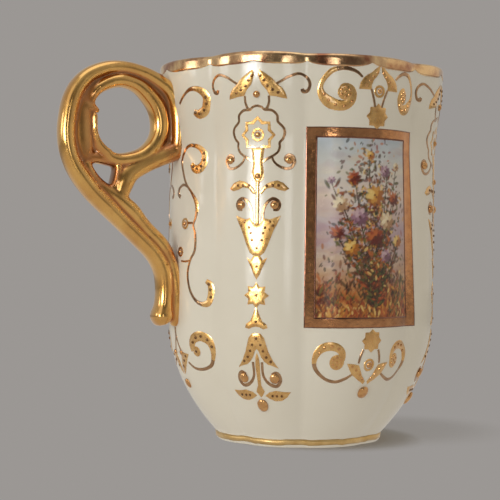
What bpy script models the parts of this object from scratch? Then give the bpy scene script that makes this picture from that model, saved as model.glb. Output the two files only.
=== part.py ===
"""A small lobed porcelain coffee cup with a scroll handle, gilt edges and framed panels.

The cup stands on its foot ring with +Z up. The handle points along -X and the front panel faces -Y.
Every length is in metres. Each object in the espresso_cup collection is one closed piece.
"""

import math

import bmesh
import bpy

# Cup body
CUP_HEIGHT = 0.0635
RIM_RADIUS = 0.0244
WAIST_RADIUS = 0.0234
FOOT_RADIUS = 0.0143
FOOT_HEIGHT = 0.0013
BOWL_HEIGHT = 0.0217
BOWL_FULLNESS = 2.3
FLARE_HEIGHT = 0.0155
LIP_UPRIGHT = 0.0013
WALL_THICKNESS = 0.0022
LIP_THICKNESS = 0.0012
BOWL_WALL = 0.0032
FLOOR_THICKNESS = 0.0030
FOOT_RING_WIDTH = 0.0024
FOOT_RECESS = 0.0014
FOOT_EDGE = 0.0003

# Lobes round the body: a wide and a narrow one by turns
LOBE_PAIRS = 4
WIDE_LOBE_ANGLE = math.radians(50)
GROOVE_DEPTH = 0.00115
GROOVE_FADE = 1.4
RIM_DIP = 0.0002

# Gilding and panels laid on the glaze
GILT_GAP = 0.0003
GILT_THICKNESS = 0.0002
RIM_BAND = 0.0017
RIM_BAND_INSIDE = 0.0012
RIM_SCALLOP = 0.0005
FOOT_BAND_BOTTOM = 0.0004
FOOT_BAND_TOP = 0.0013
FRAME_WIDTH = 0.0208
FRAME_HEIGHT = 0.0320
FRAME_BORDER = 0.0017
FRAME_BOTTOM = 0.0204
PANEL_MARGIN = 0.0003

# Scroll handle, drawn in the upright plane through the cup's axis
RING_HOLE_RADIUS = 0.0052
RING_STANDOFF = 0.0091
RING_DROP = 0.0099
RING_TUBE_RADIUS = 0.0015
RING_SWELL = 0.0011
RING_SWELL_TURN = math.radians(107)
RING_SWELL_RISE = math.radians(97)
RING_SWELL_FALL = math.radians(68)
LOOP_RADIUS = 0.0079
LOOP_GROWTH = 0.0020
LOOP_GROWTH_START = math.radians(45)
LOOP_START = math.radians(-40)
LOOP_END = math.radians(135)
STRAP_LOOP_RADIUS = 0.0018
STRAP_BACK_RADIUS = 0.0022
STRAP_TAIL_RADIUS = 0.0017
TAIL_LEAD = 0.0065
TAIL_DROP = 0.0130
TAIL_TUCK = 0.0012
TERMINAL_HEIGHT = 0.0216
TERMINAL_STANDOFF = 0.0022
TERMINAL_RADIUS = 0.0021
RIDGE_START = 0.38
RIDGE_RADIUS = 0.0013
BRANCH_RADIUS = 0.0016
STRUT_RADIUS = 0.0018
PAD_RADIUS = 0.0026
PAD_TAPER = 0.0009
PAD_REACH_UP = 0.0064
PAD_REACH_DOWN = 0.0052
TIP_RADIUS = 0.0012
TIP_RISE = 0.0014
KNOB_RADIUS = 0.0016
HANDLE_SINK = 0.0010
HANDLE_GAP = 0.0003

# Smoothness of curved shapes
LOBE_STEPS = 8
BOWL_STEPS = 9
FLARE_STEPS = 7
LIP_STEPS = 6
LOOP_STEPS = 18
TAIL_STEPS = 12
RING_STEPS = 28
STRAND_STEPS = 10
TUBE_RESOLUTION = 3
PATCH_COLUMNS = 10
PATCH_ROWS = 10
BALL_SEGMENTS = 12
BALL_RINGS = 8
SHARP_ANGLE = math.radians(35)
TANGENT_STEP = 0.01

# Heights and angles that follow from those sizes
PAIR_ANGLE = 2 * math.pi / LOBE_PAIRS
NARROW_LOBE_ANGLE = PAIR_ANGLE - WIDE_LOBE_ANGLE
BOWL_TOP = FOOT_HEIGHT + BOWL_HEIGHT
FLARE_BOTTOM = CUP_HEIGHT - FLARE_HEIGHT
FLARE_TOP = CUP_HEIGHT - LIP_UPRIGHT
FLOOR_HEIGHT = FOOT_RECESS + FLOOR_THICKNESS
LIP_HEIGHT = CUP_HEIGHT - LIP_THICKNESS / 2
RING_OUT = WAIST_RADIUS + RING_STANDOFF
RING_UP = CUP_HEIGHT - RING_DROP

PORCELAIN = (0.80, 0.75, 0.66)
GOLD = (0.62, 0.36, 0.09)
FRAME_GOLD = (0.42, 0.22, 0.06)
PANEL_BLUE = (0.56, 0.58, 0.62)


def clear_scene():
    for old in list(bpy.data.objects):
        bpy.data.objects.remove(old, do_unlink=True)


def new_collection(name):
    group = bpy.data.collections.new(name)
    bpy.context.scene.collection.children.link(group)
    return group


def new_material(name, colour, roughness, metallic):
    material = bpy.data.materials.new(name)
    material.use_nodes = True
    shader = material.node_tree.nodes["Principled BSDF"]
    shader.inputs["Base Color"].default_value = (*colour, 1)
    shader.inputs["Roughness"].default_value = roughness
    shader.inputs["Metallic"].default_value = metallic
    return material


def blend(low, high, share):
    return low + (high - low) * share


def share_between(value, low, high):
    return min(1.0, max(0.0, (value - low) / (high - low)))


def eased(share):
    """A curve that leaves its start steeply and arrives flat."""
    return 1 - (1 - share) ** BOWL_FULLNESS


def flare(height):
    """How far the wall has opened towards the rim, from 0 to 1. It starts and ends upright."""
    share = share_between(height, FLARE_BOTTOM, FLARE_TOP)
    return share ** 2 * (3 - 2 * share)


def outer_radius(height):
    """Radius of the outer wall on a lobe's crown."""
    bowl = eased(share_between(height, FOOT_HEIGHT, BOWL_TOP))
    return blend(FOOT_RADIUS, WAIST_RADIUS, bowl) + (RIM_RADIUS - WAIST_RADIUS) * flare(height)


def inner_radius(height):
    """Radius of the inner wall on a lobe's crown."""
    if height >= BOWL_TOP:
        return outer_radius(height) - blend(WALL_THICKNESS, LIP_THICKNESS, flare(height))
    floor_radius = outer_radius(FLOOR_HEIGHT) - BOWL_WALL
    bowl = eased(share_between(height, FLOOR_HEIGHT, BOWL_TOP))
    return blend(floor_radius, WAIST_RADIUS - WALL_THICKNESS, bowl)


def lobe_share(angle):
    """Place across a lobe: 0 on its crown, -1 and 1 in the grooves beside it."""
    turned = (angle + WIDE_LOBE_ANGLE / 2) % PAIR_ANGLE
    if turned < WIDE_LOBE_ANGLE:
        return 2 * turned / WIDE_LOBE_ANGLE - 1
    return 2 * (turned - WIDE_LOBE_ANGLE) / NARROW_LOBE_ANGLE - 1


def lobe_angle(spun):
    """Angle of an evenly spun point once the lobes have their own widths."""
    pair, rest = divmod(spun, PAIR_ANGLE)
    half = 2 * rest / PAIR_ANGLE
    start = pair * PAIR_ANGLE - WIDE_LOBE_ANGLE / 2
    if half < 1:
        return start + half * WIDE_LOBE_ANGLE
    return start + WIDE_LOBE_ANGLE + (half - 1) * NARROW_LOBE_ANGLE


def lobed_point(angle, radius, height):
    """A point of the round cup moved on to the lobed one."""
    hollow = lobe_share(angle) ** 2
    radius -= GROOVE_DEPTH * hollow * (radius / WAIST_RADIUS) ** GROOVE_FADE
    height -= RIM_DIP * hollow * flare(height)
    return radius * math.cos(angle), radius * math.sin(angle), height


def steps_between(low, high, count):
    return [blend(low, high, step / count) for step in range(count + 1)]


def add_part(name, shape, material, group, axis):
    """Put a finished bmesh into the scene as a named piece on the cup's axis."""
    mesh = bpy.data.meshes.new(name)
    shape.to_mesh(mesh)
    shape.free()
    mesh.shade_smooth()
    mesh.set_sharp_from_angle(angle=SHARP_ANGLE)
    piece = bpy.data.objects.new(name, mesh)
    piece.parent = axis
    group.objects.link(piece)
    if material:
        mesh.materials.append(material)
    return piece


def add_cutter(name, shape, group, axis):
    """Put a helper shape into the scene that only joins or cuts a piece."""
    helper = add_part(name, shape, None, group, axis)
    helper.hide_render = True
    helper.display_type = "WIRE"
    return helper


def lobed_turning(profile, closed):
    """Spin a profile of (radius, height) points round the axis and press the lobes into it."""
    shape = bmesh.new()
    points = [shape.verts.new((radius, 0, height)) for radius, height in profile]
    edges = [shape.edges.new(pair) for pair in zip(points, points[1:])]
    if closed:
        edges.append(shape.edges.new((points[-1], points[0])))
    bmesh.ops.spin(
        shape, geom=points + edges, axis=(0, 0, 1), cent=(0, 0, 0), dvec=(0, 0, 0),
        angle=2 * math.pi, steps=2 * LOBE_PAIRS * LOBE_STEPS, use_merge=True,
    )
    bmesh.ops.remove_doubles(shape, verts=shape.verts, dist=1e-7)
    for vertex in shape.verts:
        x, y, height = vertex.co
        angle = lobe_angle(math.atan2(y, x) % (2 * math.pi))
        vertex.co = lobed_point(angle, math.hypot(x, y), height)
    bmesh.ops.recalc_face_normals(shape, faces=shape.faces)
    return shape


def wall_heights():
    """Heights at which the outer wall is drawn, from the foot band to the lip."""
    return (
        steps_between(FOOT_HEIGHT, BOWL_TOP, BOWL_STEPS)
        + steps_between(FLARE_BOTTOM, LIP_HEIGHT, FLARE_STEPS)
    )


def lip_arc(offset):
    """The rounded lip from its outer to its inner side, offset from the porcelain."""
    centre = (outer_radius(LIP_HEIGHT) + inner_radius(LIP_HEIGHT)) / 2
    radius = LIP_THICKNESS / 2 + offset
    turns = steps_between(0, math.pi, LIP_STEPS)
    return [(centre + radius * math.cos(t), LIP_HEIGHT + radius * math.sin(t)) for t in turns]


def body_profile():
    ring_inside = FOOT_RADIUS - FOOT_RING_WIDTH
    under = [(0, FOOT_RECESS), (ring_inside, FOOT_RECESS), (ring_inside + FOOT_EDGE, 0)]
    foot = [(FOOT_RADIUS - FOOT_EDGE, 0), (FOOT_RADIUS, FOOT_EDGE)]
    outside = [(outer_radius(height), height) for height in wall_heights()]
    inside_heights = (
        steps_between(LIP_HEIGHT, FLARE_BOTTOM, FLARE_STEPS)
        + steps_between(BOWL_TOP, FLOOR_HEIGHT, BOWL_STEPS)
    )
    inside = [(inner_radius(height), height) for height in inside_heights]
    return under + foot + outside + lip_arc(0)[1:-1] + inside + [(0, FLOOR_HEIGHT)]


def make_body(material, group, axis):
    add_part("cup_body", lobed_turning(body_profile(), False), material, group, axis)


def rim_path(offset):
    """Section of the rim gilding at one offset from the porcelain, outside to inside."""
    outside = (outer_radius(CUP_HEIGHT - RIM_BAND) + offset, CUP_HEIGHT - RIM_BAND)
    inside = (inner_radius(CUP_HEIGHT - RIM_BAND_INSIDE) - offset, CUP_HEIGHT - RIM_BAND_INSIDE)
    return [outside] + lip_arc(offset) + [inside]


def make_rim_gilding(material, group, axis):
    """Gilt band over the lip, with a scalloped lower edge: two scallops to a lobe."""
    section = rim_path(GILT_GAP + GILT_THICKNESS) + rim_path(GILT_GAP)[::-1]
    shape = lobed_turning(section, True)
    edge_top = CUP_HEIGHT - RIM_BAND + RIM_SCALLOP / 2
    lip_outside = outer_radius(CUP_HEIGHT - RIM_BAND) - GROOVE_DEPTH
    for vertex in shape.verts:
        x, y, height = vertex.co
        if height < edge_top and math.hypot(x, y) > lip_outside:
            across = abs(lobe_share(math.atan2(y, x)))
            vertex.co.z += RIM_SCALLOP * abs(2 * across - 1) ** 2
    add_part("rim_gilding", shape, material, group, axis)


def make_foot_gilding(material, group, axis):
    inside = FOOT_RADIUS + GILT_GAP
    outside = inside + GILT_THICKNESS
    section = [
        (inside, FOOT_BAND_BOTTOM), (outside, FOOT_BAND_BOTTOM),
        (outside, FOOT_BAND_TOP), (inside, FOOT_BAND_TOP),
    ]
    add_part("foot_gilding", lobed_turning(section, True), material, group, axis)


def wall_patch(facing, half_width, half_height, border, lift):
    """A sheet that follows the wall of one lobe, with its middle left open where it has a border."""
    shape = bmesh.new()
    bmesh.ops.create_grid(shape, x_segments=PATCH_COLUMNS, y_segments=PATCH_ROWS, size=1)
    column_edge = 1 - 2 / PATCH_COLUMNS
    row_edge = 1 - 2 / PATCH_ROWS
    if border:
        middle = [
            face for face in shape.faces
            if max(abs(face.calc_center_median().x) / column_edge,
                   abs(face.calc_center_median().y) / row_edge) < 1
        ]
        bmesh.ops.delete(shape, geom=middle, context="FACES")
    centre = FRAME_BOTTOM + FRAME_HEIGHT / 2
    for vertex in shape.verts:
        across = stretched(vertex.co.x, column_edge, half_width, border)
        height = centre + stretched(vertex.co.y, row_edge, half_height, border)
        angle = facing + across / WAIST_RADIUS
        vertex.co = lobed_point(angle, outer_radius(height) + lift, height)
    return shape


def stretched(place, edge, half_size, border):
    """Spread a grid place of -1 to 1 over a half size, with the outermost cell as wide as the border."""
    if not border:
        return place * half_size
    if abs(place) <= edge + 1e-6:
        return place / edge * (half_size - border)
    return math.copysign(half_size, place)


def thicken(piece, thickness):
    solid = piece.modifiers.new("thickness", "SOLIDIFY")
    solid.thickness = thickness
    solid.offset = 1
    solid.use_even_offset = True


def make_panels(frame_material, panel_material, group, axis):
    """A gilt frame with its panel on each wide lobe that does not carry the handle."""
    half_width = FRAME_WIDTH / 2
    half_height = FRAME_HEIGHT / 2
    inset = FRAME_BORDER + PANEL_MARGIN
    for side, facing in (("front", -math.pi / 2), ("side", 0), ("back", math.pi / 2)):
        sheet = wall_patch(facing, half_width, half_height, FRAME_BORDER, GILT_GAP)
        frame = add_part(f"picture_frame_{side}", sheet, frame_material, group, axis)
        thicken(frame, GILT_THICKNESS)
        sheet = wall_patch(facing, half_width - inset, half_height - inset, 0, GILT_GAP)
        panel = add_part(f"picture_panel_{side}", sheet, panel_material, group, axis)
        thicken(panel, GILT_THICKNESS)


def loop_point(turn):
    """Middle of the strap at an angle past the top of its loop, as distances out and up."""
    radius = LOOP_RADIUS + LOOP_GROWTH * max(0.0, turn - LOOP_GROWTH_START)
    return RING_OUT + radius * math.sin(turn), RING_UP + radius * math.cos(turn)


def tail_point(share):
    """Middle of the strap's tail, a smooth curve from the loop down to the terminal."""
    start = loop_point(LOOP_END)
    before = loop_point(LOOP_END - TANGENT_STEP)
    lead = math.atan2(start[1] - before[1], start[0] - before[0])
    end = (outer_radius(TERMINAL_HEIGHT) + TERMINAL_STANDOFF, TERMINAL_HEIGHT)
    controls = (
        start,
        (start[0] + TAIL_LEAD * math.cos(lead), start[1] + TAIL_LEAD * math.sin(lead)),
        (end[0] - TAIL_TUCK, end[1] + TAIL_DROP),
        end,
    )
    return bezier(controls, share)


def bezier(controls, share):
    """Point of a cubic curve at a share of its run."""
    rest = 1 - share
    weights = (rest ** 3, 3 * rest ** 2 * share, 3 * rest * share ** 2, share ** 3)
    return tuple(sum(w * point[i] for w, point in zip(weights, controls)) for i in (0, 1))


def strap_radius(share):
    """The strap is thickest on its back, below the loop, and slims toward the terminal."""
    if share < 0.5:
        return blend(STRAP_LOOP_RADIUS, STRAP_BACK_RADIUS, math.sin(math.pi * share))
    return blend(STRAP_TAIL_RADIUS, STRAP_BACK_RADIUS, math.sin(math.pi * share))


def strap_route():
    """Points (out, up, radius) along the outer strap, from the wall under the lip to the terminal."""
    first = loop_point(LOOP_START)
    route = [(outer_radius(first[1]) - HANDLE_SINK, first[1], STRAP_LOOP_RADIUS)]
    for turn in steps_between(LOOP_START, LOOP_END, LOOP_STEPS):
        route.append((*loop_point(turn), STRAP_LOOP_RADIUS))
    for share in steps_between(0, 1, TAIL_STEPS)[1:]:
        route.append((*tail_point(share), strap_radius(share)))
    return route


def ring_radius(turn):
    """The ring's tube swells on the far side, where it fills out to the strap."""
    spread = RING_SWELL_RISE if turn < RING_SWELL_TURN else RING_SWELL_FALL
    share = max(0.0, 1 - abs(turn - RING_SWELL_TURN) / spread)
    return RING_TUBE_RADIUS + RING_SWELL * math.sin(math.pi / 2 * share)


def ring_route():
    """The closed ring round the finger hole."""
    route = []
    for turn in steps_between(0, 2 * math.pi, RING_STEPS)[:-1]:
        tube = ring_radius(turn)
        radius = RING_HOLE_RADIUS + tube
        route.append((RING_OUT + radius * math.sin(turn), RING_UP + radius * math.cos(turn), tube))
    return route


def branch_route():
    """The branch that leaves the wall under the ring and drops to the strap as a strut."""
    start = RING_UP - PAD_REACH_DOWN + BRANCH_RADIUS / 2
    under = RING_UP - RING_HOLE_RADIUS - RING_TUBE_RADIUS
    controls = (
        (outer_radius(start) - HANDLE_SINK, start),
        (RING_OUT - RING_HOLE_RADIUS * 2 / 3, under),
        (RING_OUT, under - BRANCH_RADIUS),
        tail_point(RIDGE_START),
    )
    return [
        (*bezier(controls, share), blend(BRANCH_RADIUS, STRUT_RADIUS, share))
        for share in steps_between(0, 1, STRAND_STEPS)
    ]


def ridge_route():
    """The slim ridge on the cup side of the strap's tail, which seats on the wall low down."""
    route = []
    for share in steps_between(RIDGE_START, 1, STRAND_STEPS):
        here = tail_point(share)
        ahead = tail_point(share + TANGENT_STEP)
        run = math.atan2(ahead[1] - here[1], ahead[0] - here[0])
        offset = strap_radius(share) + RIDGE_RADIUS / 2
        out = here[0] + offset * math.sin(run)
        up = here[1] - offset * math.cos(run)
        route.append((out, up, RIDGE_RADIUS))
    return route


def pad_route():
    """The pad that joins the ring to the upper wall, slimmer at both ends."""
    route = []
    for share in steps_between(0, 1, STRAND_STEPS):
        height = blend(RING_UP + PAD_REACH_UP, RING_UP - PAD_REACH_DOWN, share)
        route.append((outer_radius(height), height, PAD_RADIUS - PAD_TAPER * (2 * share - 1) ** 4))
    return route


def strand(route, closed):
    """A round tube of changing radius along a route in the handle's plane."""
    curve = bpy.data.curves.new("strand", "CURVE")
    curve.dimensions = "3D"
    curve.bevel_depth = 1
    curve.bevel_resolution = TUBE_RESOLUTION
    curve.use_fill_caps = True
    spline = curve.splines.new("POLY")
    spline.points.add(len(route) - 1)
    spline.use_cyclic_u = closed
    for point, (out, up, radius) in zip(spline.points, route):
        point.co = (-out, 0, up, 1)
        point.radius = radius
    holder = bpy.data.objects.new("strand", curve)
    bpy.context.scene.collection.objects.link(holder)
    bpy.context.view_layer.update()
    evaluated = holder.evaluated_get(bpy.context.evaluated_depsgraph_get())
    mesh = bpy.data.meshes.new_from_object(evaluated)
    bpy.data.objects.remove(holder, do_unlink=True)
    shape = bmesh.new()
    shape.from_mesh(mesh)
    bpy.data.meshes.remove(mesh)
    bmesh.ops.remove_doubles(shape, verts=shape.verts, dist=1e-6)
    bmesh.ops.recalc_face_normals(shape, faces=shape.faces)
    return shape


def ball(out, up, radius):
    """A round knob in the handle's plane."""
    shape = bmesh.new()
    bmesh.ops.create_uvsphere(shape, u_segments=BALL_SEGMENTS, v_segments=BALL_RINGS, radius=radius)
    bmesh.ops.translate(shape, verts=shape.verts, vec=(-out, 0, up))
    return shape


def seat_plug():
    """A solid plug of the cup's outer form, grown by the gap, that cuts the handle to its seat."""
    heights = [-CUP_HEIGHT / 4] + wall_heights() + [CUP_HEIGHT * 5 / 4]
    wall = [(outer_radius(height) + HANDLE_GAP, height) for height in heights]
    return lobed_turning([(0, heights[0])] + wall + [(0, heights[-1])], False)


def combine(piece, other, operation):
    step = piece.modifiers.new(other.name, "BOOLEAN")
    step.operation = operation
    step.object = other


def make_handle(material, group, cutters, axis):
    """The strap, ring, pad, branch and ridge joined into one handle and cut to the wall."""
    handle = add_part("handle", strand(strap_route(), False), material, group, axis)
    ridge = ridge_route()
    tip_out = RING_OUT + RING_HOLE_RADIUS + TIP_RADIUS / 4
    joined = {
        "handle_ring": strand(ring_route(), True),
        "handle_pad": strand(pad_route(), False),
        "handle_branch": strand(branch_route(), False),
        "handle_ridge": strand(ridge, False),
        "handle_terminal": ball(*tail_point(1), TERMINAL_RADIUS),
        "handle_tip": ball(tip_out, RING_UP + TIP_RISE, TIP_RADIUS),
        "handle_knob": ball(*ridge[0][:2], KNOB_RADIUS),
    }
    for name, shape in joined.items():
        combine(handle, add_cutter(name, shape, cutters, axis), "UNION")
    combine(handle, add_cutter("handle_seat", seat_plug(), cutters, axis), "DIFFERENCE")


def main():
    clear_scene()
    parts = new_collection("espresso_cup")
    cutters = new_collection("handle_cutters")
    porcelain = new_material("porcelain", PORCELAIN, 0.12, 0)
    gold = new_material("gilding", GOLD, 0.28, 1)
    frame_gold = new_material("frame_gilding", FRAME_GOLD, 0.35, 1)
    panel = new_material("painted_panel", PANEL_BLUE, 0.30, 0)

    # The cup's axis stands off the middle of the footprint, which the handle stretches along -X.
    reach = max(out + radius for out, up, radius in strap_route())
    axis = bpy.data.objects.new("cup_axis", None)
    axis.location.x = (reach - RIM_RADIUS - GILT_GAP - GILT_THICKNESS) / 2
    parts.objects.link(axis)

    make_body(porcelain, parts, axis)
    make_handle(gold, parts, cutters, axis)
    make_rim_gilding(gold, parts, axis)
    make_foot_gilding(gold, parts, axis)
    make_panels(frame_gold, panel, parts, axis)


main()
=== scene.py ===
# %% [markdown]
# # A small gilt coffee cup
# The cup is lobed porcelain with a gilt scroll handle, gilt edges, raised gold ornament and framed
# painted panels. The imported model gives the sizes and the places, so it is loaded first and its box is
# kept. Everything made later stands round the cup's own axis, which is the middle of the body.

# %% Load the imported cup
import math
import random

import bmesh
import bpy
import numpy as np
from mathutils import Matrix, Vector


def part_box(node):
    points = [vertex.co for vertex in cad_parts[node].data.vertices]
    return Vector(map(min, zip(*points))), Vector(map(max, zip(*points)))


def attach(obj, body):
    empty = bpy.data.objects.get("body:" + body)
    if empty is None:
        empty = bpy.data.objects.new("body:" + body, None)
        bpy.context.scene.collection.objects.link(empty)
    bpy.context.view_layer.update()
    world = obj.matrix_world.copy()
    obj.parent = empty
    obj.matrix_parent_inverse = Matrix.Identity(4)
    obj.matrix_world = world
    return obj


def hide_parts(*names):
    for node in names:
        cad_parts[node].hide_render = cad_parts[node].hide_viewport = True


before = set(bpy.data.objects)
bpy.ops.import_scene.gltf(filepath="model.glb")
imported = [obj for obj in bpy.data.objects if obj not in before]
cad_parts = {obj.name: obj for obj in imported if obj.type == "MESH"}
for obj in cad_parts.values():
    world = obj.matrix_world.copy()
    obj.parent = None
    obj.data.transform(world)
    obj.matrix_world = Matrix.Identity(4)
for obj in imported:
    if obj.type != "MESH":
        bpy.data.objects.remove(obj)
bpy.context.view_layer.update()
scene = bpy.context.scene
scene.view_settings.view_transform = "Standard"
body_low, body_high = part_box("cup_body")
AXIS = Vector(((body_low.x + body_high.x) / 2, (body_low.y + body_high.y) / 2, 0))
MM = 0.001
print("axis at", [round(value, 5) for value in AXIS])

# %% [markdown]
# ## Camera
# The photograph looks almost level at the cup, from a place between the handle and the front panel. A
# long lens at a quarter of a metre gives the same flat perspective. The camera is aimed beside the axis
# because the handle takes up the left of the picture, and it is rolled a little.

# %% Camera
VIEW_ANGLE = math.radians(243)
VIEW_DISTANCE = 0.2413
EYE_HEIGHT = 0.03406
AIM_LEFT = 0.0087
AIM_DOWN = 0.0015
ROLL = math.radians(0.7)
FOCAL_LENGTH = 99.1
SENSOR_WIDTH = 36

outward = Vector((math.cos(VIEW_ANGLE), math.sin(VIEW_ANGLE), 0))
rightward = Vector((-outward.y, outward.x, 0))
eye = AXIS + outward * VIEW_DISTANCE + Vector((0, 0, EYE_HEIGHT))
aim = AXIS - rightward * AIM_LEFT + Vector((0, 0, EYE_HEIGHT - AIM_DOWN))

lens = bpy.data.cameras.new("camera")
lens.lens = FOCAL_LENGTH
lens.sensor_width = SENSOR_WIDTH
camera = bpy.data.objects.new("camera", lens)
scene.collection.objects.link(camera)
aimed = (aim - eye).to_track_quat("-Z", "Y").to_matrix()
rolled = aimed @ Matrix.Rotation(ROLL, 3, "Z")
camera.matrix_world = Matrix.Translation(eye) @ rolled.to_4x4()
scene.camera = camera
print("camera", [round(value, 4) for value in eye])

# %% [markdown]
# ## The lobed wall
# Eight lobes run up the cup, a wide and a narrow one by turns, with a soft groove between them. Every
# piece on the wall has to follow that form, so one function presses a point of a plain round cup into the
# lobes, and another gives a point from its place on one lobe. Lengths are in millimetres, as on a drawing.

# %% Shape of the wall
HEIGHT = 63.8
RIM = 24.7
WAIST = 23.4
FOOT = 14.55
FOOT_TOP = 1.3
BOWL_TOP = 23.0
BOWL_FULLNESS = 2.3
FLARE_BOTTOM = 48.0
FLARE_TOP = 62.5
WIDE_LOBE = 50
NARROW_LOBE = 40
LOBE_PAIR = WIDE_LOBE + NARROW_LOBE
GROOVE_DEPTH = 1.15
GROOVE_GROWTH = 1.4
GROOVE_SOFTNESS = 0.004
RIM_PULL = 0.6
RIM_DIP = 0.2
WARP_RISE = 0.4
WARPED_AT = math.radians(224)


def share(value, low, high):
    return min(1.0, max(0.0, (value - low) / (high - low)))


def flare(z):
    """How far the wall has opened towards the rim, from 0 to 1. It ends upright."""
    part = share(z, FLARE_BOTTOM, FLARE_TOP)
    return part * part * (3 - 2 * part)


def bowl(z, bottom):
    """How far the bowl has opened towards the waist, from 0 to 1."""
    return 1 - (1 - share(z, bottom, BOWL_TOP)) ** BOWL_FULLNESS


def wall_radius(z):
    return FOOT + (WAIST - FOOT) * bowl(z, FOOT_TOP) + (RIM - WAIST) * flare(z)


def across_lobe(angle):
    """Place across a lobe: 0 on its crown, 1 and -1 in the grooves beside it."""
    turned = (math.degrees(angle) + WIDE_LOBE / 2) % LOBE_PAIR
    if turned < WIDE_LOBE:
        return (turned - WIDE_LOBE / 2) / (WIDE_LOBE / 2)
    return (turned - (WIDE_LOBE + NARROW_LOBE / 2)) / (NARROW_LOBE / 2)


def wall_point(angle, radius, z):
    """A point of a plain round cup, pressed into the lobes, and warped a little at the rim by the firing."""
    crown = 1 - across_lobe(angle) ** 2
    hollow = 1 - math.sqrt(crown * crown + GROOVE_SOFTNESS)
    raised = max(0.0, math.cos(angle - WARPED_AT)) ** 6
    pulled = max(0.0, -math.cos(angle)) ** 2
    radius += RIM_PULL * pulled * flare(z) - GROOVE_DEPTH * hollow * (radius / WAIST) ** GROOVE_GROWTH
    z += (WARP_RISE * raised - RIM_DIP * hollow) * flare(z)
    return AXIS + Vector((radius * math.cos(angle), radius * math.sin(angle), z)) * MM


def on_lobe(facing, along, z, lift):
    """A point given on a lobe's face: along it to the right, up it, and off the glaze."""
    return wall_point(facing + along / WAIST, wall_radius(z) + lift, z)


print("wall radius at foot, waist and rim", [round(wall_radius(z), 2) for z in (2, 30, 63)])

# %% Turning on the wheel
LOBES = 8
LOBE_STEPS = 26


def lobe_angle(spun):
    """An evenly spun angle, moved so that the wide and the narrow lobes get their own widths."""
    even = LOBE_PAIR / 2
    pair, rest = divmod(math.degrees(spun), LOBE_PAIR)
    start = LOBE_PAIR * pair - WIDE_LOBE / 2
    if rest < even:
        return math.radians(start + rest / even * WIDE_LOBE)
    return math.radians(start + WIDE_LOBE + (rest - even) / even * NARROW_LOBE)


def turned_shape(profile, closed):
    """Spin a profile of (radius, height) points and press the lobes into it."""
    shape = bmesh.new()
    points = [shape.verts.new((radius, 0, z)) for radius, z in profile]
    edges = [shape.edges.new(pair) for pair in zip(points, points[1:])]
    if closed:
        edges.append(shape.edges.new((points[-1], points[0])))
    bmesh.ops.spin(
        shape, geom=points + edges, axis=(0, 0, 1), cent=(0, 0, 0), dvec=(0, 0, 0),
        angle=math.tau, steps=LOBES * LOBE_STEPS, use_merge=True,
    )
    bmesh.ops.remove_doubles(shape, verts=shape.verts, dist=1e-5)
    for vertex in shape.verts:
        x, y, z = vertex.co
        vertex.co = wall_point(lobe_angle(math.atan2(y, x) % math.tau), math.hypot(x, y), z)
    bmesh.ops.recalc_face_normals(shape, faces=shape.faces)
    return shape


def mesh_of(shape, name):
    """The mesh of a finished bmesh, which is freed."""
    mesh = bpy.data.meshes.new(name)
    shape.to_mesh(mesh)
    shape.free()
    return mesh


def add_piece(name, shape, material, slot, *nodes):
    """Turn a finished bmesh into a piece that rides on the cup and stands for its solid nodes."""
    mesh = mesh_of(shape, name)
    mesh.shade_smooth()
    mesh.materials.append(material)
    piece = bpy.data.objects.new(name, mesh)
    scene.collection.objects.link(piece)
    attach(piece, "root")
    if nodes:
        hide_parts(*nodes)
    print(name, len(mesh.polygons), "faces")
    return piece


print("spun shapes have", LOBES * LOBE_STEPS, "steps")

# %% [markdown]
# ## Finishes
# The glaze is a warm cream that is never quite even: it pools a little darker here and there, and its
# gloss ripples. The golds differ. On the handle and the edges the gold is burnished and worn, and
# red-brown painted shade darkens the handle's hollows. On the raised work the leaves are paler, the drawn
# lines browner and the tooled dots bronze. A clear coat over the golds gives them white glints beside the
# coloured ones.

# %% Node helpers


def new_finish(name, roughness, metallic):
    material = bpy.data.materials.new(name)
    material.use_nodes = True
    shader = material.node_tree.nodes["Principled BSDF"]
    shader.inputs["Roughness"].default_value = roughness
    shader.inputs["Metallic"].default_value = metallic
    return material, shader


def add_node(material, kind, **values):
    node = material.node_tree.nodes.new(kind)
    for key, value in values.items():
        if key in node.inputs:
            node.inputs[key].default_value = value
        else:
            setattr(node, key, value)
    return node


def join(material, source, target):
    material.node_tree.links.new(source, target)


def speckle(material, scale, detail):
    """Noise on the piece's own coordinates, with its size in spots to the metre."""
    place = add_node(material, "ShaderNodeTexCoord")
    noise = add_node(material, "ShaderNodeTexNoise", Scale=scale, Detail=detail, Roughness=0.6)
    join(material, place.outputs["Object"], noise.inputs["Vector"])
    return noise.outputs["Fac"]


def ramp(material, factor, stops):
    """Colours or levels along a factor. Each stop is a place and a colour."""
    node = add_node(material, "ShaderNodeValToRGB")
    while len(node.color_ramp.elements) < len(stops):
        node.color_ramp.elements.new(0.5)
    for element, (place, colour) in zip(node.color_ramp.elements, stops):
        element.position = place
        element.color = (*colour, 1)
    join(material, factor, node.inputs["Fac"])
    return node.outputs["Color"]


def grey(level):
    return (level, level, level)


def ripple(material, shader, factor, distance):
    """Let a pattern raise and lower the surface by up to a distance in metres."""
    bump = add_node(material, "ShaderNodeBump", Strength=1.0, Distance=distance)
    join(material, factor, bump.inputs["Height"])
    join(material, bump.outputs["Normal"], shader.inputs["Normal"])


def uneven_gloss(material, shader, grain, detail, low, high):
    """Let the roughness vary in patches."""
    gloss = ramp(material, speckle(material, grain, detail), [(0.3, grey(low)), (0.7, grey(high))])
    join(material, gloss, shader.inputs["Roughness"])


print("node helpers ready")

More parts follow.
